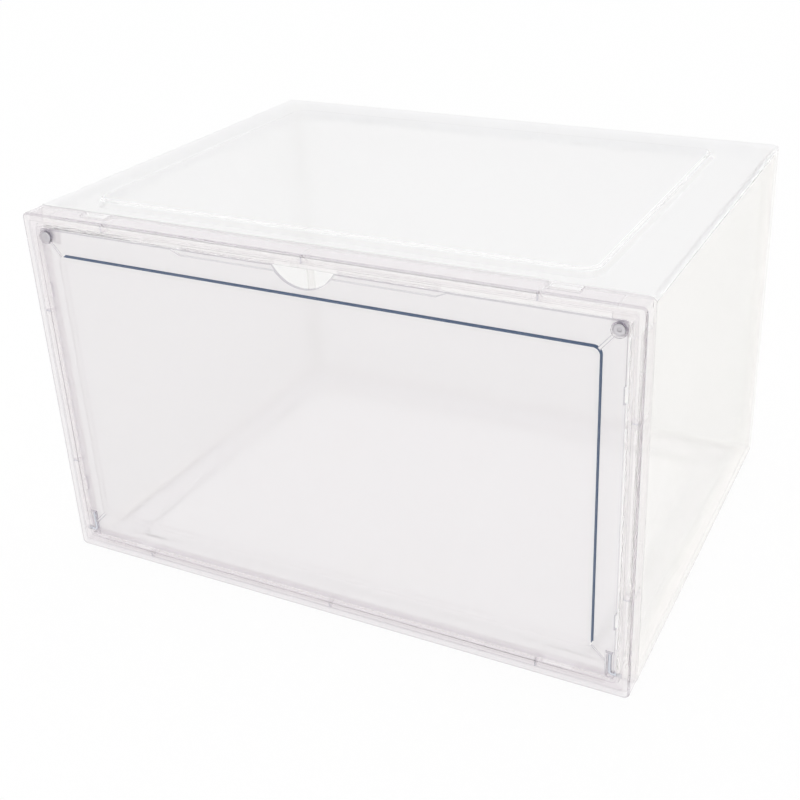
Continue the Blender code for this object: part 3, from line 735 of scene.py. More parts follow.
@dataclass(frozen=True)
class Finishes:
    """Every finish on the box."""

    panel: ClearPlastic = ClearPlastic(
        "clear_panel_plastic", (0.912, 0.908, 0.902), (0.89, 0.89, 0.88), 0.88, 1.03, PANEL_WEAR)
    # Painted light: a paler copy of the panel plastic, for the right side panel only
    lit_panel: ClearPlastic = ClearPlastic(
        "panel_plastic_painted_light", (0.952, 0.947, 0.938), (0.93, 0.93, 0.92), 0.88, 1.03, PANEL_WEAR)
    panel_edge: ClearPlastic = ClearPlastic(
        "clear_panel_edge", (0.91, 0.90, 0.91), (0.90, 0.89, 0.90), 0.85, 1.02,
        Wear(60.0, 26.0, 0.66, 14.0, 0.05, 0.14, 0.000005))
    top_panel: ClearPlastic = ClearPlastic(
        "clear_top_plastic", (0.912, 0.913, 0.917), (0.90, 0.90, 0.91), 0.88, 1.03, SATIN_WEAR)
    # Painted highlight: a paler, milky upper bend of the field, drawing the white line that light draws along it
    field_bend_highlight: ClearPlastic = ClearPlastic(
        "milky_field_bend_painted_highlight", (0.97, 0.97, 0.97), (0.96, 0.96, 0.96), 0.70, 1.03,
        Wear(60.0, 26.0, 0.66, 14.0, 0.20, 0.30, 0.000005))
    # Painted light: the step's side slopes paler and milky, so that they show no dark refraction line
    field_slope_light: ClearPlastic = ClearPlastic(
        "milky_field_slope_painted_light", (0.98, 0.98, 0.98), (0.96, 0.96, 0.96), 0.42, 1.03, replace(SATIN_WEAR, bump=0.000005))
    floor_panel: ClearPlastic = ClearPlastic(
        "scuffed_floor_plastic", (0.890, 0.885, 0.882), (0.882, 0.875, 0.862), 0.88, 1.02,
        Wear(30.0, 9.0, 0.56, 16.0, 0.16, 0.24, 0.000008))
    # Painted shade: the bottom panel's flat border, where it rests on the ground, darker
    floor_border_shade: ClearPlastic = ClearPlastic(
        "floor_border_painted_shade", (0.855, 0.845, 0.850), (0.83, 0.82, 0.83), 0.88, 1.03,
        Wear(30.0, 20.0, 0.56, 16.0, 0.30, 0.40, 0.000010))
    frame: ClearPlastic = ClearPlastic(
        "clear_frame_plastic", (0.930, 0.918, 0.920), (0.90, 0.89, 0.90), 0.84, 1.05,
        replace(GLOSS_WEAR, bump=0.000010))
    # Painted shade: the frame's bends, edges and chamfers much darker, standing for the dark lines that refraction
    # draws in clear plastic
    frame_edge_shade: ClearPlastic = ClearPlastic(
        "frame_edge_painted_shade", (0.66, 0.63, 0.66), (0.66, 0.63, 0.66), 0.84, 1.05, GLOSS_WEAR)
    # Painted shade: the gussets' front faces dark blue-grey, standing for the dark outlines that refraction draws round
    # them
    frame_web_shade: ClearPlastic = ClearPlastic(
        "frame_web_painted_shade", (0.52, 0.56, 0.66), (0.52, 0.56, 0.66), 0.84, 1.05, GLOSS_WEAR)
    # Painted shade: the frame's low rail and its outer faces but the right one darker
    frame_foot_shade: ClearPlastic = ClearPlastic(
        "frame_foot_painted_shade", (0.874, 0.856, 0.867), (0.85, 0.835, 0.85), 0.84, 1.05, GLOSS_WEAR)
    # Painted light: a paler tint on the frame's left side behind the lip, and on no other side
    frame_inner_light: ClearPlastic = ClearPlastic(
        "frame_inner_painted_light", (0.975, 0.962, 0.968), (0.95, 0.94, 0.95), 0.84, 1.05, GLOSS_WEAR)
    door: ClearPlastic = ClearPlastic(
        "clear_door_plastic", (0.885, 0.872, 0.881), (0.86, 0.848, 0.86), 0.88, 1.06,
        Wear(26.0, 30.0, 0.68, 15.0, 0.28, 0.38, 0.000012))
    # Painted shade: the door's edges, bends, chamfers, nicks, notch and boss walls dark, standing for the dark lines
    # that refraction draws
    door_edge_shade: ClearPlastic = ClearPlastic(
        "door_edge_painted_shade", (0.54, 0.52, 0.57), (0.54, 0.52, 0.57), 0.86, 1.06,
        Wear(26.0, 30.0, 0.68, 15.0, 0.04, 0.12, 0.000005))
    # Painted shade: a dark slate line on only the top and right sides of the door's step, standing for the refraction
    # there
    line: OpaqueFinish = OpaqueFinish(
        "slate_line_painted_refraction", (0.075, 0.120, 0.205), (0.10, 0.15, 0.24), 0.0,
        Wear(60.0, 60.0, 0.62, 40.0, 0.30, 0.45, 0.000004))
    magnet: OpaqueFinish = OpaqueFinish(
        "nickel_plate", (0.84, 0.84, 0.86), (0.60, 0.60, 0.63), 1.0,
        Wear(900.0, 500.0, 0.55, 400.0, 0.25, 0.40, 0.000010))
    # Painted reflection: near-black metal on the door magnets' chamfers and dimple walls, standing for the dark
    # reflection that the plating shows
    magnet_rim_reflection: OpaqueFinish = OpaqueFinish(
        "nickel_rim_painted_dark_reflection", (0.06, 0.06, 0.08), (0.10, 0.10, 0.12), 1.0,
        Wear(900.0, 500.0, 0.55, 400.0, 0.30, 0.40, 0.000005))
    pin: OpaqueFinish = OpaqueFinish(
        "drawn_pin_steel", (0.70, 0.72, 0.77), (0.52, 0.54, 0.59), 1.0,
        Wear(900.0, 600.0, 0.58, 300.0, 0.24, 0.40, 0.000010))


# Pieces


@dataclass
class Piece:
    """One piece of the box: the node it stands for, the body it rides on, and a slot name for its finish, which is not
    used.
    """

    box: BoxSizes
    materials: list[bpy.types.Material]
    name: str = ""
    node: str = ""
    body: str = "case"
    slot: str = "body_plastic"
    rim: float = 0.0002

    def build(self) -> Solid:
        """Work out the piece's solid."""
        raise NotImplementedError

    def dress(self) -> bpy.types.Object:
        """Finish the solid, put it in its node's place and let it ride on its body.

        Returns:
            The finished piece.
        """
        piece = self.build().finished(self.name, self.rim)
        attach(piece, self.body)
        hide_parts(self.node)
        LOG.info("%s: %d faces, for %s, on %s", self.name, len(piece.data.polygons), self.node, self.body)
        return piece

    def on_front(self, loops: np.ndarray, depths: np.ndarray) -> np.ndarray:
        """Stand outlines (m, n, 2) of the front up in space, each at its own depth."""
        rows = np.broadcast_to(self.box.front + np.asarray(depths)[:, None], loops.shape[:2])
        return np.stack((loops[..., 0], rows, loops[..., 1]), axis=-1)


@dataclass
class FrontFrame(Piece):
    """The moulded frame: one rounded channel profile carried round the front, with gussets, brackets and bores."""

    name: str = "front_frame_moulding"
    node: str = "front_frame"
    slot: str = "frame_plastic"
    corner_radius: float = 0.0033
    opening_radius: float = 0.0020
    front_edge_radius: float = 0.0012
    band_width: float = 0.0042
    band_fillet: float = 0.0002
    lip_fillet: float = 0.0004
    root_fillet: float = 0.0005
    inner_wall: float = 0.0014
    inner_depth: float = 0.0095
    gusset_foot: float = 0.0008
    locating_tab_span: tuple[float, float] = (0.0200, 0.0750)
    locating_tab_drop: float = 0.0026
    locating_tab_depth: float = 0.0046
    bracket_margin: float = 0.0006
    bracket_thickness: float = 0.0014
    boss_wall: float = 0.0011

    def build(self) -> Solid:
        """Carry the profile round the front, then weld on the small forms and cut the pockets."""
        brackets = [skin for side in Side for skin in self.magnet_bracket(side)]
        return (Solid(self.channel(), self.materials)
                .weld(together([self.gussets(), both(self.locating_tab)]), *brackets)
                .cut(both(self.magnet_pocket), both(self.pivot_bore), both(self.seam_notches)))

    def channel(self) -> Skin:
        """The profile of inset and depth, each of its points drawn as one outline at that inset and depth."""
        box = self.box
        fillet = box.edge_fillet
        inner_face = box.lip_width - self.inner_wall
        lip_back = box.band_step + box.frame_wall
        path = rounded_path([
            (0.0, box.frame_depth, fillet), (0.0, 0.0, self.front_edge_radius), (self.band_width, 0.0, fillet),
            (self.band_width, box.band_step, self.band_fillet), (box.lip_width, box.band_step, self.lip_fillet),
            (box.lip_width, self.inner_depth, fillet), (inner_face, self.inner_depth, fillet),
            (inner_face, lip_back, self.lip_fillet), (box.frame_wall, lip_back, self.root_fillet),
            (box.frame_wall, box.frame_depth, fillet)])
        inset, depth = path[:, 0], path[:, 1]
        radius = np.maximum(self.corner_radius - inset, self.opening_radius)
        loops = rounded_rectangles(box.half_width - inset, inset, box.height - inset, radius, radius)
        skin = skin_over(self.on_front(loops, depth), ring=True)
        grid = skin.grid(len(QUARTERS))
        # The first six bends, from the back edge over the front to the inner wall, with all of the front edge's round,
        # in the edges' finish, which the frame has painted dark as shade
        corners_in_front = 6
        mark_bends(grid, path, slice(0, corners_in_front * FILLET_POINTS))
        grid[FILLET_POINTS:FILLET_POINTS + FILLET_STEPS] = Layer.EDGE
        # The low rail and the outer faces but the right one get painted shade, then what lies behind the lip on the
        # left gets painted light
        outer = np.maximum(inset, np.roll(inset, -1))[:, None] < box.frame_wall + SLIVER
        foot = outer & (QUARTERS != Quarter.RIGHT) | (QUARTERS == Quarter.LOW)
        grid[(grid == Layer.PLAIN) & foot] = Layer.FOOT
        behind = (depth > box.band_step + SLIVER) & (inset > box.frame_wall)
        # Painted light, on the left side only
        grid[(grid == Layer.PLAIN) & behind[:, None] & (QUARTERS == Quarter.LEFT)] = Layer.FLANK
        return skin

    def gussets(self) -> Skin:
        """Ten thin gussets, tall behind the lip and sloping down to the end of the inner wall.

        They stop a hair short of the lip's back, so that their front and sloping faces keep finishes of their own:
        painted shade, dark blue-grey in front and dark on the slope.
        """
        box = self.box
        near = box.frame_wall - WELD
        far = box.lip_width - self.inner_wall + WELD
        front = box.front + box.band_step + box.frame_wall + 2 * SLIVER
        back = box.front + self.inner_depth - WELD
        low = np.array([(front, near), (front, far), (back, far), (front + self.gusset_foot, near)])
        high = low * (1.0, -1.0) + (0.0, box.height)
        upright = [np.stack((side.value * (box.half_width - low[:, 1]), low[:, 0]), axis=1) for side in Side]
        half = box.rib_thickness / 2
        found = [carried(outline, place - half, place + half, Plane.SIDE)
                 for place in box.long_ribs for outline in (low, high)]
        found += [carried(outline, place - half, place + half, Plane.PLAN)
                  for outline in upright for place in box.short_ribs]
        for skin in found:
            # Front faces painted dark blue-grey and sloping faces painted dark, both as shade
            skin.finishes[[0, 2]] = Layer.ACCENT, Layer.EDGE
        return together(found)

    def locating_tab(self, side: Side) -> Skin:
        """The long tab under the top rail that the door's top edge closes against."""
        box = self.box
        top = box.opening[2]
        front = box.front + box.stop_depth
        near, far = self.locating_tab_span
        return block_on(side, (near, front, top - self.locating_tab_drop),
                        (far, front + self.locating_tab_depth, top + WELD))

    def magnet_bracket(self, side: Side) -> tuple[Skin, Skin]:
        """The plate across the opening's top corner, and the round boss on it."""
        box = self.box
        radius = box.pocket[0] + self.boss_wall
        back = box.front + box.stop_depth + box.pocket[1] + self.bracket_thickness
        front = back - self.bracket_thickness
        across, height = box.magnet_centre(Side.RIGHT)
        reach = radius + self.bracket_margin
        plate = block_on(side, (across - reach, front, height - reach),
                         (box.opening[0] + WELD, back, box.opening[2] + WELD))
        boss = bar(box.magnet_centre(side), radius, box.front + box.stop_depth, front + WELD, Plane.FRONT)
        return plate, boss

    def magnet_pocket(self, side: Side) -> Skin:
        """The pocket for the frame's magnet, open to the front."""
        box = self.box
        front = box.front + box.stop_depth
        return bar(box.magnet_centre(side), box.pocket[0], front - OVERRUN, front + box.pocket[1], Plane.FRONT)

    def pivot_bore(self, side: Side) -> Skin:
        """The bore in the inner wall that the hinge pin turns in."""
        box = self.box
        near, far = side.span(box.opening[0] - OVERRUN, box.opening[0] + box.pin_reach + box.gap)
        return bar((box.front + box.pivot_depth, box.pin_place[1]), box.bore_radius, near, far, Plane.SIDE)

    def seam_notches(self, side: Side) -> Skin:
        """Notches in the back edge of the top and bottom walls, one for each seam tab."""
        box = self.box
        half = box.tab_width / 2 + box.gap
        front = box.front + box.frame_depth - box.tab_reach
        back = box.front + box.frame_depth + OVERRUN
        inside = box.frame_wall + WELD
        return together([
            block_on(side, (box.tab_offset - half, front, low), (box.tab_offset + half, back, high))
            for low, high in ((-OVERRUN, inside), (box.height - inside, box.height + OVERRUN))])


@dataclass
class DoorPanel(Piece):
    """The door: a plate of even wall with its field stepped forward, and a dark slate line painted along two of the
    step's sides, standing for refraction shade.
    """

    name: str = "door_moulding"
    node: str = "door_panel"
    body: str = "door"
    slot: str = "door_plastic"
    field_depth: float = 0.0002
    corner_radius: float = 0.0016
    field_margins: tuple[float, float, float] = (0.0118, 0.0168, 0.0136)
    field_corner_radius: float = 0.0042
    draft: float = 0.0003
    flat_run: float = 0.0008
    notch_radius: float = 0.0210
    notch_depth: float = 0.0105
    relief_height: float = 0.0026
    relief_half_width: float = 0.0750
    relief_slope: float = 0.0060
    relief_sink: float = 0.0008
    nick_length: float = 0.0090
    nick_depth: float = 0.0009
    nicks_from_ends: tuple[float, float] = (0.0370, 0.0358)
    rib_width: float = 0.0014
    rib_height: float = 0.0009
    boss_wall: float = 0.0006
    boss_face: float = 0.0009
    pivot_wall: float = 0.0010
    pivot_proud: float = 0.0009
    pivot_end_wall: float = 0.0012

    def build(self) -> Solid:
        """Skin the plate, then weld on bosses and ribs and cut the pockets, grooves, nicks and the finger notch."""
        grooves = [skin for side in Side for skin in self.pivot_groove(side)]
        return (Solid(self.plate(), self.materials)
                .weld(both(self.magnet_boss), both(self.pivot_boss), both(self.diagonal_ribs))
                .cut(both(self.magnet_pocket), *grooves, both(self.edge_nicks), self.top_relief(),
                     self.finger_notch()))

    @property
    def back(self) -> float:
        """Where the back of the door's border lies."""
        return self.box.front + self.box.door_back_depth

    def outlines(self, path: np.ndarray, margins: tuple[float, float, float], corner_radius: float) -> np.ndarray:
        """Outlines of the door's edge or of its field.

        Args:
            path: how far each outline is drawn in, and its depth.
            margins: how far the form lies in from the door's sides, bottom and top.
            corner_radius: the form's corner radius where it isn't drawn in.

        Returns:
            The outlines, stood up in space.
        """
        half_width, bottom, top = self.box.door
        extra = path[:, 0]
        radius = corner_radius - extra
        loops = rounded_rectangles(half_width - margins[0] - extra, bottom + margins[1] + extra,
                                   top - margins[2] - extra, radius, radius)
        return self.on_front(loops, path[:, 1])

    def plate(self) -> Skin:
        """The plate: outlines from the back of the field, over the edge, to the front of the field."""
        box = self.box
        wall, border, back = box.door_wall, box.door_border_depth, box.door_back_depth
        face, run, fillet = self.field_depth, self.flat_run, box.edge_fillet
        behind = rounded_path(
            [(wall + self.draft + run, face + wall, 0.0), (wall + self.draft, face + wall, fillet),
             (wall, back, fillet), (wall - run, back, 0.0)], closed=False)
        edge = rounded_path(
            [(run, back, 0.0), (0.0, back, fillet), (0.0, border, fillet), (run, border, 0.0)], closed=False)
        ahead = rounded_path(
            [(-run, border, 0.0), (0.0, border, fillet), (self.draft, face, fillet), (self.draft + run, face, 0.0)],
            closed=False)
        loops = np.concatenate((self.outlines(behind, self.field_margins, self.field_corner_radius),
                                self.outlines(edge, (0.0, 0.0, 0.0), self.corner_radius),
                                self.outlines(ahead, self.field_margins, self.field_corner_radius)))
        skin = skin_over(loops)
        grid = skin.grid(len(QUARTERS))
        start = len(behind) + len(edge)
        # The bends and the high face of the door's edge in the edges' painted dark shade, and the step's top and right
        # sides with a painted slate line standing for refraction shade
        mark_bends(grid, np.concatenate((behind, edge, ahead)), slice(len(behind), start))
        grid[len(behind) + FILLET_POINTS, QUARTERS == Quarter.HIGH] = Layer.EDGE
        grid[start + 1:start + len(ahead) - 2, RIGHT_AND_HIGH] = Layer.ACCENT
        return skin

    def magnet_boss(self, side: Side) -> Skin:
        """The round boss at the top corner, closed at the front, with a rounded rim."""
        box = self.box
        radius = box.pocket[0] + self.boss_wall
        front = self.back - box.pocket[1] - self.boss_face
        profile = rounded_path([(LEAST_RADIUS, front, 0.0), (radius, front, box.edge_fillet),
                                (radius, self.back, 0.0)], closed=False)
        boss = turned(profile, box.magnet_centre(side), Plane.FRONT)
        boss.grid(ROUND_STEPS)[1:] = Layer.EDGE
        return boss

    def magnet_pocket(self, side: Side) -> Skin:
        """The magnet's pocket, open to the back."""
        box = self.box
        pocket = bar(box.magnet_centre(side), box.pocket[0], self.back - box.pocket[1], self.back + OVERRUN,
                     Plane.FRONT)
        pocket.grid(ROUND_STEPS)[:] = Layer.EDGE
        return pocket

    def pivot_boss(self, side: Side) -> Skin:
        """The tall boss at the bottom corner that the bent pin snaps into."""
        box = self.box
        inner = box.pin_place[0] - box.bore_radius - self.pivot_wall
        top = box.pin_place[1] + box.pin_leg + box.gap + self.pivot_end_wall
        return block_on(side, (inner, box.front + box.door_border_depth - self.pivot_proud, box.door[1]),
                        (box.door[0], box.front + box.pivot_depth + box.bore_radius + self.pivot_wall, top))

    def pivot_groove(self, side: Side) -> tuple[Skin, Skin]:
        """The groove for the pin, open to the front: its upright part, and its way out through the door's edge."""
        box = self.box
        across, height = box.pin_place
        groove = box.bore_radius
        back = box.front + box.pivot_depth + groove
        front = box.front - OVERRUN
        upright = block_on(side, (across - groove, front, height - groove),
                           (across + groove, back, height + box.pin_leg + box.gap))
        outlet = block_on(side, (across, front, height - groove), (box.door[0] + OVERRUN, back, height + groove))
        return upright, outlet

    def diagonal_ribs(self, side: Side) -> Skin:
        """Ribs from the raised field's corners to the magnet boss and the pivot boss."""
        box = self.box
        half_width, bottom, top = box.door
        side_margin, bottom_margin, top_margin = self.field_margins
        half_corner = self.field_corner_radius / 2
        start = half_width - side_margin - half_corner
        low = bottom + bottom_margin + half_corner
        boss_edge = box.pin_place[0] - box.pin_radius - box.gap - self.pivot_wall / 2
        lines = np.array([
            [(start, top - top_margin - half_corner), box.magnet_centre(Side.RIGHT)],
            [(start, low), (boss_edge, low - (boss_edge - start))],
        ]) * (side.value, 1.0)
        along = unit(lines[:, 1] - lines[:, 0]) * (self.rib_width / 2)
        across = np.stack((-along[:, 1], along[:, 0]), axis=1)
        outlines = np.stack((lines[:, 0] + across, lines[:, 0] - across, lines[:, 1] - across, lines[:, 1] + across),
                            axis=1)
        front = box.front + box.door_border_depth - self.rib_height
        back = box.front + box.door_border_depth + WELD
        return together([carried(outline, front, back, Plane.FRONT) for outline in outlines])

    def edge_nicks(self, side: Side) -> Skin:
        """Two shallow nicks in the door's upright edge."""
        box = self.box
        half_width, bottom, top = box.door
        middles = top - self.nicks_from_ends[0], bottom + self.nicks_from_ends[1]
        return together([
            block_on(side, (half_width - self.nick_depth, box.front - OVERRUN, middle - self.nick_length / 2),
                     (half_width + OVERRUN, self.back + OVERRUN, middle + self.nick_length / 2))
            for middle in middles]).all_in(Layer.EDGE)

    def top_relief(self) -> Skin:
        """The long shallow relief along the top edge, sunk into the front face, with sloping ends."""
        box = self.box
        low = box.door[2] - self.relief_height
        high = box.door[2] + OVERRUN
        half = self.relief_half_width
        wide = half + self.relief_slope * (high - low) / self.relief_height
        outline = np.array([(-half, low), (half, low), (wide, high), (-wide, high)])
        return carried(outline, box.front - OVERRUN, box.front + box.door_border_depth + self.relief_sink,
                       Plane.FRONT)

    def finger_notch(self) -> Skin:
        """The half-round notch in the middle of the top edge."""
        box = self.box
        return bar((0.0, box.door[2] - self.notch_depth + self.notch_radius), self.notch_radius,
                   box.front - OVERRUN, self.back + OVERRUN, Plane.FRONT, 3 * ROUND_STEPS).all_in(Layer.EDGE)


@dataclass
class StackingPanel(Piece):
    """The top or bottom panel: a sheet of even wall whose middle field steps up on a sloping wall."""

    level: Level = Level.TOP
    field_margins: tuple[float, float, float] = (0.0323, 0.0096, 0.0394)
    field_height: float = 0.0045
    field_corner_radius: float = 0.0090
    step_run: float = 0.0022
    bend_radius: float = 0.0005
    nest_clearance: float = 0.0010
    flat_run: float = 0.0020
    rib_width: float = 0.0014
    rib_height: float = 0.0040
    rib_end_margin: float = 0.0060

    def build(self) -> Solid:
        """Skin the sheet, then weld on its tongue, seam tabs and locating ribs."""
        return Solid(self.sheet(), self.materials).weld(self.tongue(), both(self.seam_tab), self.locating_ribs())

    @property
    def is_top(self) -> bool:
        """Whether this is the top panel."""
        return self.level is Level.TOP

    def in_space(self, loops: np.ndarray, sinks: np.ndarray) -> np.ndarray:
        """Lay plan outlines (m, n, 2) at their sinks below the top, or above the ground for the bottom panel."""
        heights = self.box.height - sinks if self.is_top else sinks
        rows = np.broadcast_to(np.asarray(heights)[:, None], loops.shape[:2])
        return np.concatenate((loops, rows[..., None]), axis=-1)

    def field_outlines(self, path: np.ndarray) -> np.ndarray:
        """Outlines of the field, grown by the path's first value at the sink of its second."""
        box = self.box
        side_margin, front_margin, back_margin = self.field_margins
        extra = path[:, 0]
        radius = self.field_corner_radius + extra
        loops = rounded_rectangles(box.half_width - side_margin + extra, box.panel_front + front_margin - extra,
                                   box.back - back_margin + extra, radius, radius)
        return self.in_space(loops, path[:, 1])

    def edge_outlines(self, path: np.ndarray) -> np.ndarray:
        """Outlines of the sheet's edge. The edge at the frame is only just broken, the other three are round."""
        box = self.box
        inset = path[:, 0]
        front_inset = box.seam_break * np.minimum(inset / box.edge_radius, 1.0)
        radius = np.maximum(box.corner_radius - inset, box.seam_break)
        loops = rounded_rectangles(box.half_width - inset, box.panel_front + front_inset, box.back - inset,
                                   np.full_like(inset, box.seam_break), radius)
        return self.in_space(loops, path[:, 1])

    def sheet(self) -> Skin:
        """The sheet: outlines from under the field, over the edge, to the field's top.

        The two faces of the sloping step are one wall apart. With f the angle of the slope, each bend of the face
        that lies a wall away is shifted by wall * tan(f / 2), and its radius differs by one wall.
        """
        box, wall, run = self.box, self.box.wall, self.flat_run
        grow = 0.0 if self.is_top else self.nest_clearance
        rise = -self.field_height if self.is_top else self.field_height + self.nest_clearance / 2
        shift = wall * math.tan(0.5 * math.atan2(abs(rise), self.step_run)) * (-1.0 if self.is_top else 1.0)
        foot = grow + self.step_run
        tight, wide = self.bend_radius, self.bend_radius + wall
        far_foot, far_edge = (wide, tight) if self.is_top else (tight, wide)
        inner = rounded_path(
            [(grow + shift - run, rise + wall, 0.0), (grow + shift, rise + wall, far_edge),
             (foot + shift, wall, far_foot), (foot + shift + run, wall, 0.0)], closed=False)
        edge = rounded_path(
            [(box.corner_radius, wall, 0.0), (0.0, wall, box.edge_fillet), (0.0, 0.0, box.edge_radius),
             (box.corner_radius, 0.0, 0.0)], closed=False)
        outer = rounded_path(
            [(foot + run, 0.0, 0.0), (foot, 0.0, far_edge), (grow, rise, far_foot), (grow - run, rise, 0.0)],
            closed=False)
        skin = skin_over(np.concatenate((self.field_outlines(inner), self.edge_outlines(edge),
                                         self.field_outlines(outer))))
        path = np.concatenate((inner, edge, outer))
        grid = skin.grid(len(QUARTERS))
        start = len(inner) + len(edge)
        # The bends of the edge, the flat border in painted shade (dark on the bottom panel only), the step's side
        # flanks on both faces in painted light, and half of its upper bend outside in a painted highlight
        mark_bends(grid, path, slice(len(inner), start))
        # Painted shade on the flat border, dark on the bottom panel only
        grid[start - 1] = Layer.FOOT
        # The step's left and right slopes, on both faces, get painted light
        for painted_light_slope in (slice(1, len(inner) - 2), slice(start + 1, len(path) - 2)):
            grid[painted_light_slope, FLANKS] = Layer.FLANK
        upper_bend = start + 1 + FILLET_POINTS
        # Painted highlight along the field's upper bend
        grid[upper_bend + 1:upper_bend + 4] = Layer.ACCENT
        return skin

    def sunk_block(self, low: Point, high: Point) -> Skin:
        """A box whose heights are sinks from the panel's outer face."""
        if self.is_top:
            return block((low[0], low[1], self.box.height - high[2]), (high[0], high[1], self.box.height - low[2]))
        return block(low, high)

    def tongue(self) -> Skin:
        """The joggled tongue along the front edge, in stretches between the frame's ribs."""
        box = self.box
        return together([self.sunk_block(low, high)
                         for low, high in box.tongue_blocks(-box.half_width, box.half_width, box.long_ribs)])

    def seam_tab(self, side: Side) -> Skin:
        """The tab that lies flush in a notch of the frame's wall."""
        box = self.box
        half = box.tab_width / 2
        near, far = side.span(box.tab_offset - half, box.tab_offset + half)
        return self.sunk_block(
            (near, box.panel_front - box.tab_reach, box.seam_break),
            (far, box.panel_front + box.tongue_root / 2, box.frame_wall + box.gap + WELD)).all_in(Layer.EDGE)

    def locating_ribs(self) -> Skin:
        """Low ribs inside the panel that the side and back panels stand against."""
        box = self.box
        reach = (box.wall if self.is_top else box.flange_reach) + box.gap
        side_far, back_far = box.half_width - reach, box.back - reach
        foot, top = box.wall - WELD, box.wall + self.rib_height
        start = box.panel_front + box.tongue_root + self.rib_end_margin
        across = box.half_width - box.flange_reach - self.rib_end_margin
        found = [self.sunk_block((-across, back_far - self.rib_width, foot), (across, back_far, top))]
        for side in Side:
            near, far = side.span(side_far - self.rib_width, side_far)
            found.append(self.sunk_block((near, start, foot), (far, back_far - self.rib_end_margin, top)))
        return together(found)


@dataclass
class SidePanel(Piece):
    """A side panel: a plate with flanges along its foot and its back edge, and a tongue into the frame."""

    side: Side = Side.LEFT
    inner_bend: float = 0.0006

    def build(self) -> Solid:
        """Carry the plan of plate and rear flange upwards, then weld on the foot flange and the tongue."""
        return Solid(self.upright(), self.materials).weld(self.foot_flange(), self.tongue())

    @property
    def inside(self) -> float:
        """How far the panel lies in from the outer faces that it stands between."""
        return self.box.wall + self.box.gap

    @property
    def flange_back(self) -> float:
        """The back face of the rear flange, just inside the back panel."""
        return self.box.back - self.box.wall - self.box.gap

    def upright(self) -> Skin:
        """The plate and its rear flange, one plan outline with every corner rounded."""
        box = self.box
        fillet = box.edge_fillet
        inner, outer = box.half_width - box.wall, box.half_width
        flange, flange_front = box.half_width - box.flange_reach, self.flange_back - box.wall
        plan = rounded_path([
            (inner, box.panel_front, fillet), (outer, box.panel_front, fillet), (outer, box.back, box.edge_radius),
            (inner, box.back, LEAST_RADIUS), (inner, self.flange_back, LEAST_RADIUS),
            (flange, self.flange_back, fillet), (flange, flange_front, fillet), (inner, flange_front, self.inner_bend)])
        return carried(plan * (self.side.value, 1.0), self.inside, box.height - self.inside, Plane.PLAN)

    def foot_flange(self) -> Skin:
        """The flange that lies on the bottom panel, its free edge rounded."""
        box = self.box
        outline = flange_outline(box.half_width - box.flange_reach, box.half_width - box.wall + WELD,
                                 self.inside, self.inside + box.wall, box.edge_fillet)
        return carried(outline * (self.side.value, 1.0), box.panel_front, self.flange_back - WELD, Plane.FRONT)

    def tongue(self) -> Skin:
        """The tongue along the front edge, in stretches between the frame's ribs."""
        box = self.box
        return together([
            block_on(self.side, (box.half_width - far, front, bottom), (box.half_width - near, back, top))
            for (bottom, front, near), (top, back, far) in box.tongue_blocks(0.0, box.height, box.short_ribs)])


@dataclass
class BackPanel(Piece):
    """The back panel: a plate between the side panels with a foot flange that lies on the bottom panel."""

    name: str = "back_panel_moulding"
    node: str = "back_panel"

    def build(self) -> Solid:
        """Carry the plate's outline across, then weld on the narrower foot flange."""
        box = self.box
        fillet = box.edge_fillet
        low, high = box.wall + box.gap, box.height - (box.wall + box.gap)
        inner, half = box.back - box.wall, box.half_width - (box.wall + box.gap)
        plate = rounded_path([(inner, low, fillet), (box.back, low, fillet), (box.back, high, fillet),
                              (inner, high, fillet)])
        flange = flange_outline(box.back - box.flange_reach, inner + WELD, low, low + box.wall, fillet)
        flange_half = box.half_width - box.flange_reach - box.gap
        return (Solid(carried(plate, -half, half, Plane.SIDE), self.materials)
                .weld(carried(flange, -flange_half, flange_half, Plane.SIDE)))


@dataclass
class Magnet(Piece):
    """A small plated disc magnet with chamfered rims and a shallow dimple in each face."""

    slot: str = "magnet_metal"
    rim: float = 0.0
    side: Side = Side.LEFT
    face_depth: float = 0.0
    chamfer: float = 0.00025
    dimple_radius: float = 0.0011
    dimple_depth: float = 0.00025
    dimple_floor_share: float = 0.7

    def build(self) -> Solid:
        """Turn the magnet's profile of radius and place about its axis, every second ring in the finish for edges,
        painted dark as reflection on the door's magnets.
        """
        box = self.box
        half, rim = box.magnet_thickness / 2, box.magnet_radius
        face = np.array([(LEAST_RADIUS, half - self.dimple_depth),
                         (self.dimple_floor_share * self.dimple_radius, half - self.dimple_depth),
                         (self.dimple_radius, half), (rim - self.chamfer, half), (rim, half - self.chamfer)])
        middle = box.front + self.face_depth + half
        profile = np.concatenate((face * (1.0, -1.0), face[::-1])) + (0.0, middle)
        skin = turned(profile, box.magnet_centre(self.side), Plane.FRONT)
        # Chamfers and dimple walls; on the door's magnets these are a painted dark reflection
        skin.grid(ROUND_STEPS)[1::2] = Layer.EDGE
        return Solid(skin, self.materials)


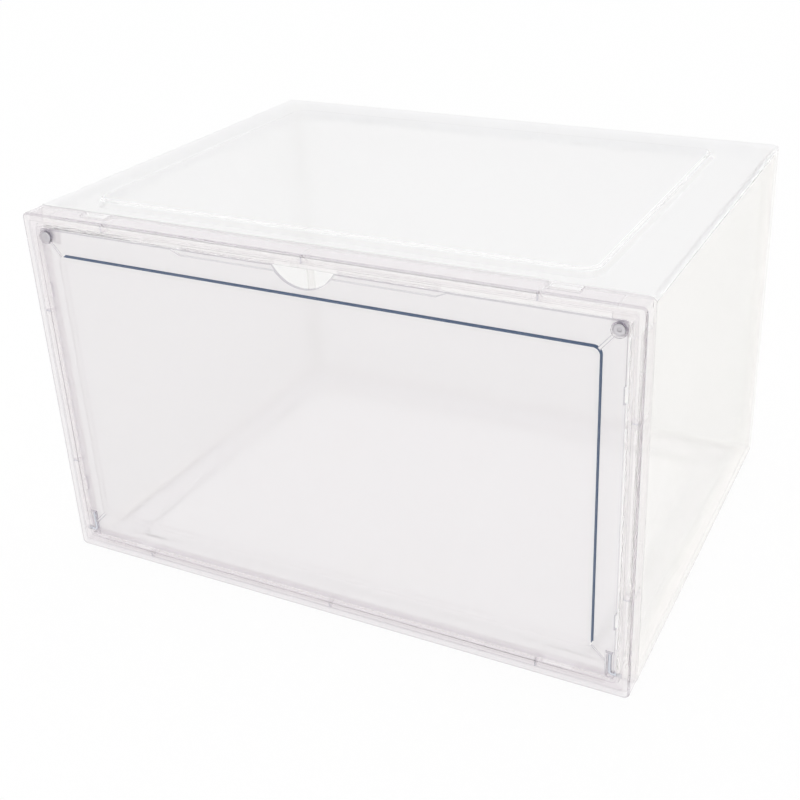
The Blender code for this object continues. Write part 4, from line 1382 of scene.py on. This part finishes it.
@dataclass
class HingePin(Piece):
    """A bent steel pin: an upright leg in the door, and a short end that turns in the frame."""

    body: str = "door"
    slot: str = "pin_steel"
    rim: float = 0.0
    side: Side = Side.LEFT
    bend_steps: int = 16
    end_chamfer: float = 0.00025
    sides: int = 32

    def build(self) -> Solid:
        """Carry a circle along the pin's middle line.

        A loop's points are the line's point plus the radius times (cos t) across the bend and (sin t) in it, and the
        radius falls by the chamfer at both ends.
        """
        box = self.box
        across, height = box.pin_place
        bend = box.pin_bend_radius
        angle = np.pi + 0.5 * np.pi * np.linspace(0.0, 1.0, self.bend_steps + 1)
        curve = np.array([across + bend, height + bend]) + bend * np.stack((np.cos(angle), np.sin(angle)), axis=1)
        top, end = height + box.pin_leg, box.opening[0] + box.pin_reach
        line = np.concatenate(([(across, top), (across, top - self.end_chamfer)], curve,
                               [(end - self.end_chamfer, height), (end, height)]))
        radius = np.full(len(line), box.pin_radius)
        radius[[0, -1]] -= self.end_chamfer
        along = unit(np.gradient(line, axis=0))
        normal = np.stack((-along[:, 1], along[:, 0]), axis=1)
        turn = 2.0 * np.pi * np.arange(self.sides) / self.sides
        in_bend = radius[:, None] * np.sin(turn)
        loops = np.empty((len(line), self.sides, 3))
        loops[..., 0] = self.side.value * (line[:, :1] + normal[:, :1] * in_bend)
        loops[..., 1] = box.front + box.pivot_depth + radius[:, None] * np.cos(turn)
        loops[..., 2] = line[:, 1:] + normal[:, 1:] * in_bend
        return Solid(skin_over(loops), self.materials)


# Studio


@dataclass(frozen=True)
class Studio:
    """The camera, the pale floor, the white surroundings and one soft lamp."""

    picture_size: float = 800.0
    focal_pixels: float = 1195.453
    image_centre: tuple[float, float] = (452.0, 356.0)
    sensor_width: float = 36.0
    nearest: float = 0.01
    camera_place: Point = (0.312306, -0.608590, 0.428142)
    turn: float = 25.986
    tilt: float = 25.511
    roll: float = 1.549
    floor_size: float = 8.0
    floor_drop: float = 0.0002
    floor_colour: Colour = (0.95, 0.95, 0.95)
    floor_roughness: float = 0.8
    floor_white: float = 0.93
    lamp_place: Point = (-0.9, -0.9, 1.3)
    lamp_target: Point = (0.0, 0.0, 0.1)
    lamp_size: float = 0.8
    lamp_power: float = 1.5
    light_bounces: int = 48
    see_through_bounces: int = 32

    def set_up(self) -> None:
        """Make everything that the picture is taken with."""
        self.add_camera()
        self.add_floor()
        self.add_surroundings()
        self.add_lamp()
        scene = bpy.context.scene
        scene.view_settings.view_transform = "Standard"
        scene.cycles.max_bounces = self.light_bounces
        scene.cycles.transmission_bounces = self.light_bounces
        scene.cycles.glossy_bounces = self.light_bounces
        scene.cycles.transparent_max_bounces = self.see_through_bounces

    @staticmethod
    def place(name: str, data: bpy.types.ID) -> bpy.types.Object:
        """Put an object with this data in the scene."""
        placed = bpy.data.objects.new(name, data)
        bpy.context.scene.collection.objects.link(placed)
        return placed

    def add_camera(self) -> None:
        """Place the camera from its turn about the box, its tilt down and its roll."""
        turn, tilt, roll = (math.radians(value) for value in (self.turn, self.tilt, self.roll))
        back = Vector((math.sin(turn) * math.cos(tilt), -math.cos(turn) * math.cos(tilt), math.sin(tilt)))
        level_right = Vector((math.cos(turn), math.sin(turn), 0.0))
        level_up = back.cross(level_right)
        right = math.cos(roll) * level_right - math.sin(roll) * level_up
        up = math.sin(roll) * level_right + math.cos(roll) * level_up
        lens = bpy.data.cameras.new("studio_camera")
        lens.sensor_width = self.sensor_width
        lens.lens = self.focal_pixels / self.picture_size * lens.sensor_width
        lens.shift_x = 0.5 - self.image_centre[0] / self.picture_size
        lens.shift_y = self.image_centre[1] / self.picture_size - 0.5
        lens.clip_start = self.nearest
        camera = self.place("studio_camera", lens)
        placing = Matrix((right, up, back)).transposed().to_4x4()
        placing.translation = self.camera_place
        camera.matrix_world = placing
        bpy.context.scene.camera = camera

    def add_floor(self) -> None:
        """A wide pale sheet that keeps a shadow and shows white to the camera, to metal and through plastic."""
        half = self.floor_size / 2
        mesh = bpy.data.meshes.new("studio_floor")
        corners = np.array([(-half, -half), (half, -half), (half, half), (-half, half)])
        mesh.from_pydata(np.column_stack((corners, np.full(4, -self.floor_drop))).tolist(), [], [[0, 1, 2, 3]])
        sheet = self.place("studio_floor", mesh)
        material, shader = blank_material("studio_floor_paper")
        feed(shader, {"Base Color": (*self.floor_colour, 1.0), "Roughness": self.floor_roughness})
        tree = material.node_tree
        path = add_node(tree, "LightPath").outputs
        mirrored = add_node(tree, "Math", {0: path["Is Camera Ray"], 1: path["Is Glossy Ray"]}, operation="MAXIMUM")
        seen = add_node(tree, "Math", {0: mirrored.outputs[0], 1: path["Is Transmission Ray"]}, operation="MAXIMUM")
        share = add_node(tree, "Math", {0: seen.outputs[0], 1: self.floor_white}, operation="MULTIPLY")
        blend_surface(tree, share.outputs[0], add_node(tree, "Emission").outputs["Emission"])
        mesh.materials.append(material)

    @staticmethod
    def add_surroundings() -> None:
        """White on every side, looked up by direction.

        The renderer aims rays at surroundings only where their colour can vary. A constant white would reach the
        inside of the box only by chance through its walls, and leave it grey.
        """
        world = bpy.data.worlds.new("studio_surroundings")
        world.use_nodes = True
        tree = world.node_tree
        ramp = add_node(tree, "ValToRGB", {"Fac": add_node(tree, "TexCoord").outputs["Generated"]})
        for stop in ramp.color_ramp.elements:
            stop.color = WHITE
        feed(tree.nodes["Background"], {"Color": ramp.outputs["Color"]})
        bpy.context.scene.world = world

    def add_lamp(self) -> None:
        """One broad soft lamp, high on the left in front of the box."""
        light = bpy.data.lights.new("soft_lamp", "AREA")
        light.shape = "SQUARE"
        light.size = self.lamp_size
        light.energy = self.lamp_power
        lamp = self.place("soft_lamp", light)
        lamp.location = self.lamp_place
        aim = Vector(self.lamp_target) - Vector(self.lamp_place)
        lamp.rotation_euler = aim.to_track_quat("-Z", "Y").to_euler()


def box_pieces(box: BoxSizes, finishes: Finishes) -> list[Piece]:
    """Every piece of the box, in the order it is built.

    Args:
        box: the sizes that the pieces share.
        finishes: the finishes, from which the materials are built once.

    Returns:
        The pieces, not yet built.
    """
    # Of these, the field's bend is a painted highlight, its slope painted light and the magnet rim a painted dark
    # reflection
    panel, edge, bend, top, painted_light_slope, magnet, rim, pin = (finish.material() for finish in (
        finishes.panel, finishes.panel_edge, finishes.field_bend_highlight, finishes.top_panel, finishes.field_slope_light,
        finishes.magnet, finishes.magnet_rim_reflection, finishes.pin))
    # After the plain plastic, the frame's painted shade on edges, webs and foot, and painted light on its left inner
    # side
    frame_look = [finish.material() for finish in (finishes.frame, finishes.frame_edge_shade, finishes.frame_web_shade,
                                                   finishes.frame_foot_shade, finishes.frame_inner_light)]
    # After the plain plastic, the door's painted edge shade and its painted slate line
    door_look = [finish.material() for finish in (finishes.door, finishes.door_edge_shade, finishes.line)]
    # The bottom panel's painted shade on its border, with the painted highlight and painted light of its step
    floor_look = [finishes.floor_panel.material(), edge, bend, finishes.floor_border_shade.material(), painted_light_slope]
    # The left side panel in the plain plastic, the right one in its paler copy of painted light
    side_plastic_and_light = {Side.LEFT: panel, Side.RIGHT: finishes.lit_panel.material()}
    pieces: list[Piece] = [
        FrontFrame(box, frame_look),
        DoorPanel(box, door_look),
        StackingPanel(box, [top, edge, bend, top, painted_light_slope], "top_panel_moulding", "top_panel", level=Level.TOP),
        StackingPanel(box, floor_look, "bottom_panel_moulding", "bottom_panel", level=Level.BOTTOM),
        BackPanel(box, [panel, edge]),
    ]
    for side in Side:
        label = side.label
        pieces += [
            SidePanel(box, [side_plastic_and_light[side], edge], label + "_panel_moulding", label + "_panel", side=side),
            Magnet(box, [magnet, rim], "plated_door_magnet_" + label, "door_magnet_" + label, "door", side=side,
                   face_depth=box.door_back_depth - box.magnet_thickness),
            Magnet(box, [magnet, magnet], "plated_frame_magnet_" + label, "frame_magnet_" + label, side=side,
                   face_depth=box.stop_depth),
            HingePin(box, [pin], "bent_hinge_pin_" + label, "hinge_pin_" + label, side=side),
        ]
    return pieces


def main() -> None:
    """Set up the studio, then build and dress the box piece by piece."""
    logging.basicConfig(level=logging.INFO, format="%(name)s: %(message)s")
    Studio().set_up()
    for piece in box_pieces(BoxSizes(), Finishes()):
        piece.dress()


if __name__ == "__main__":
    main()
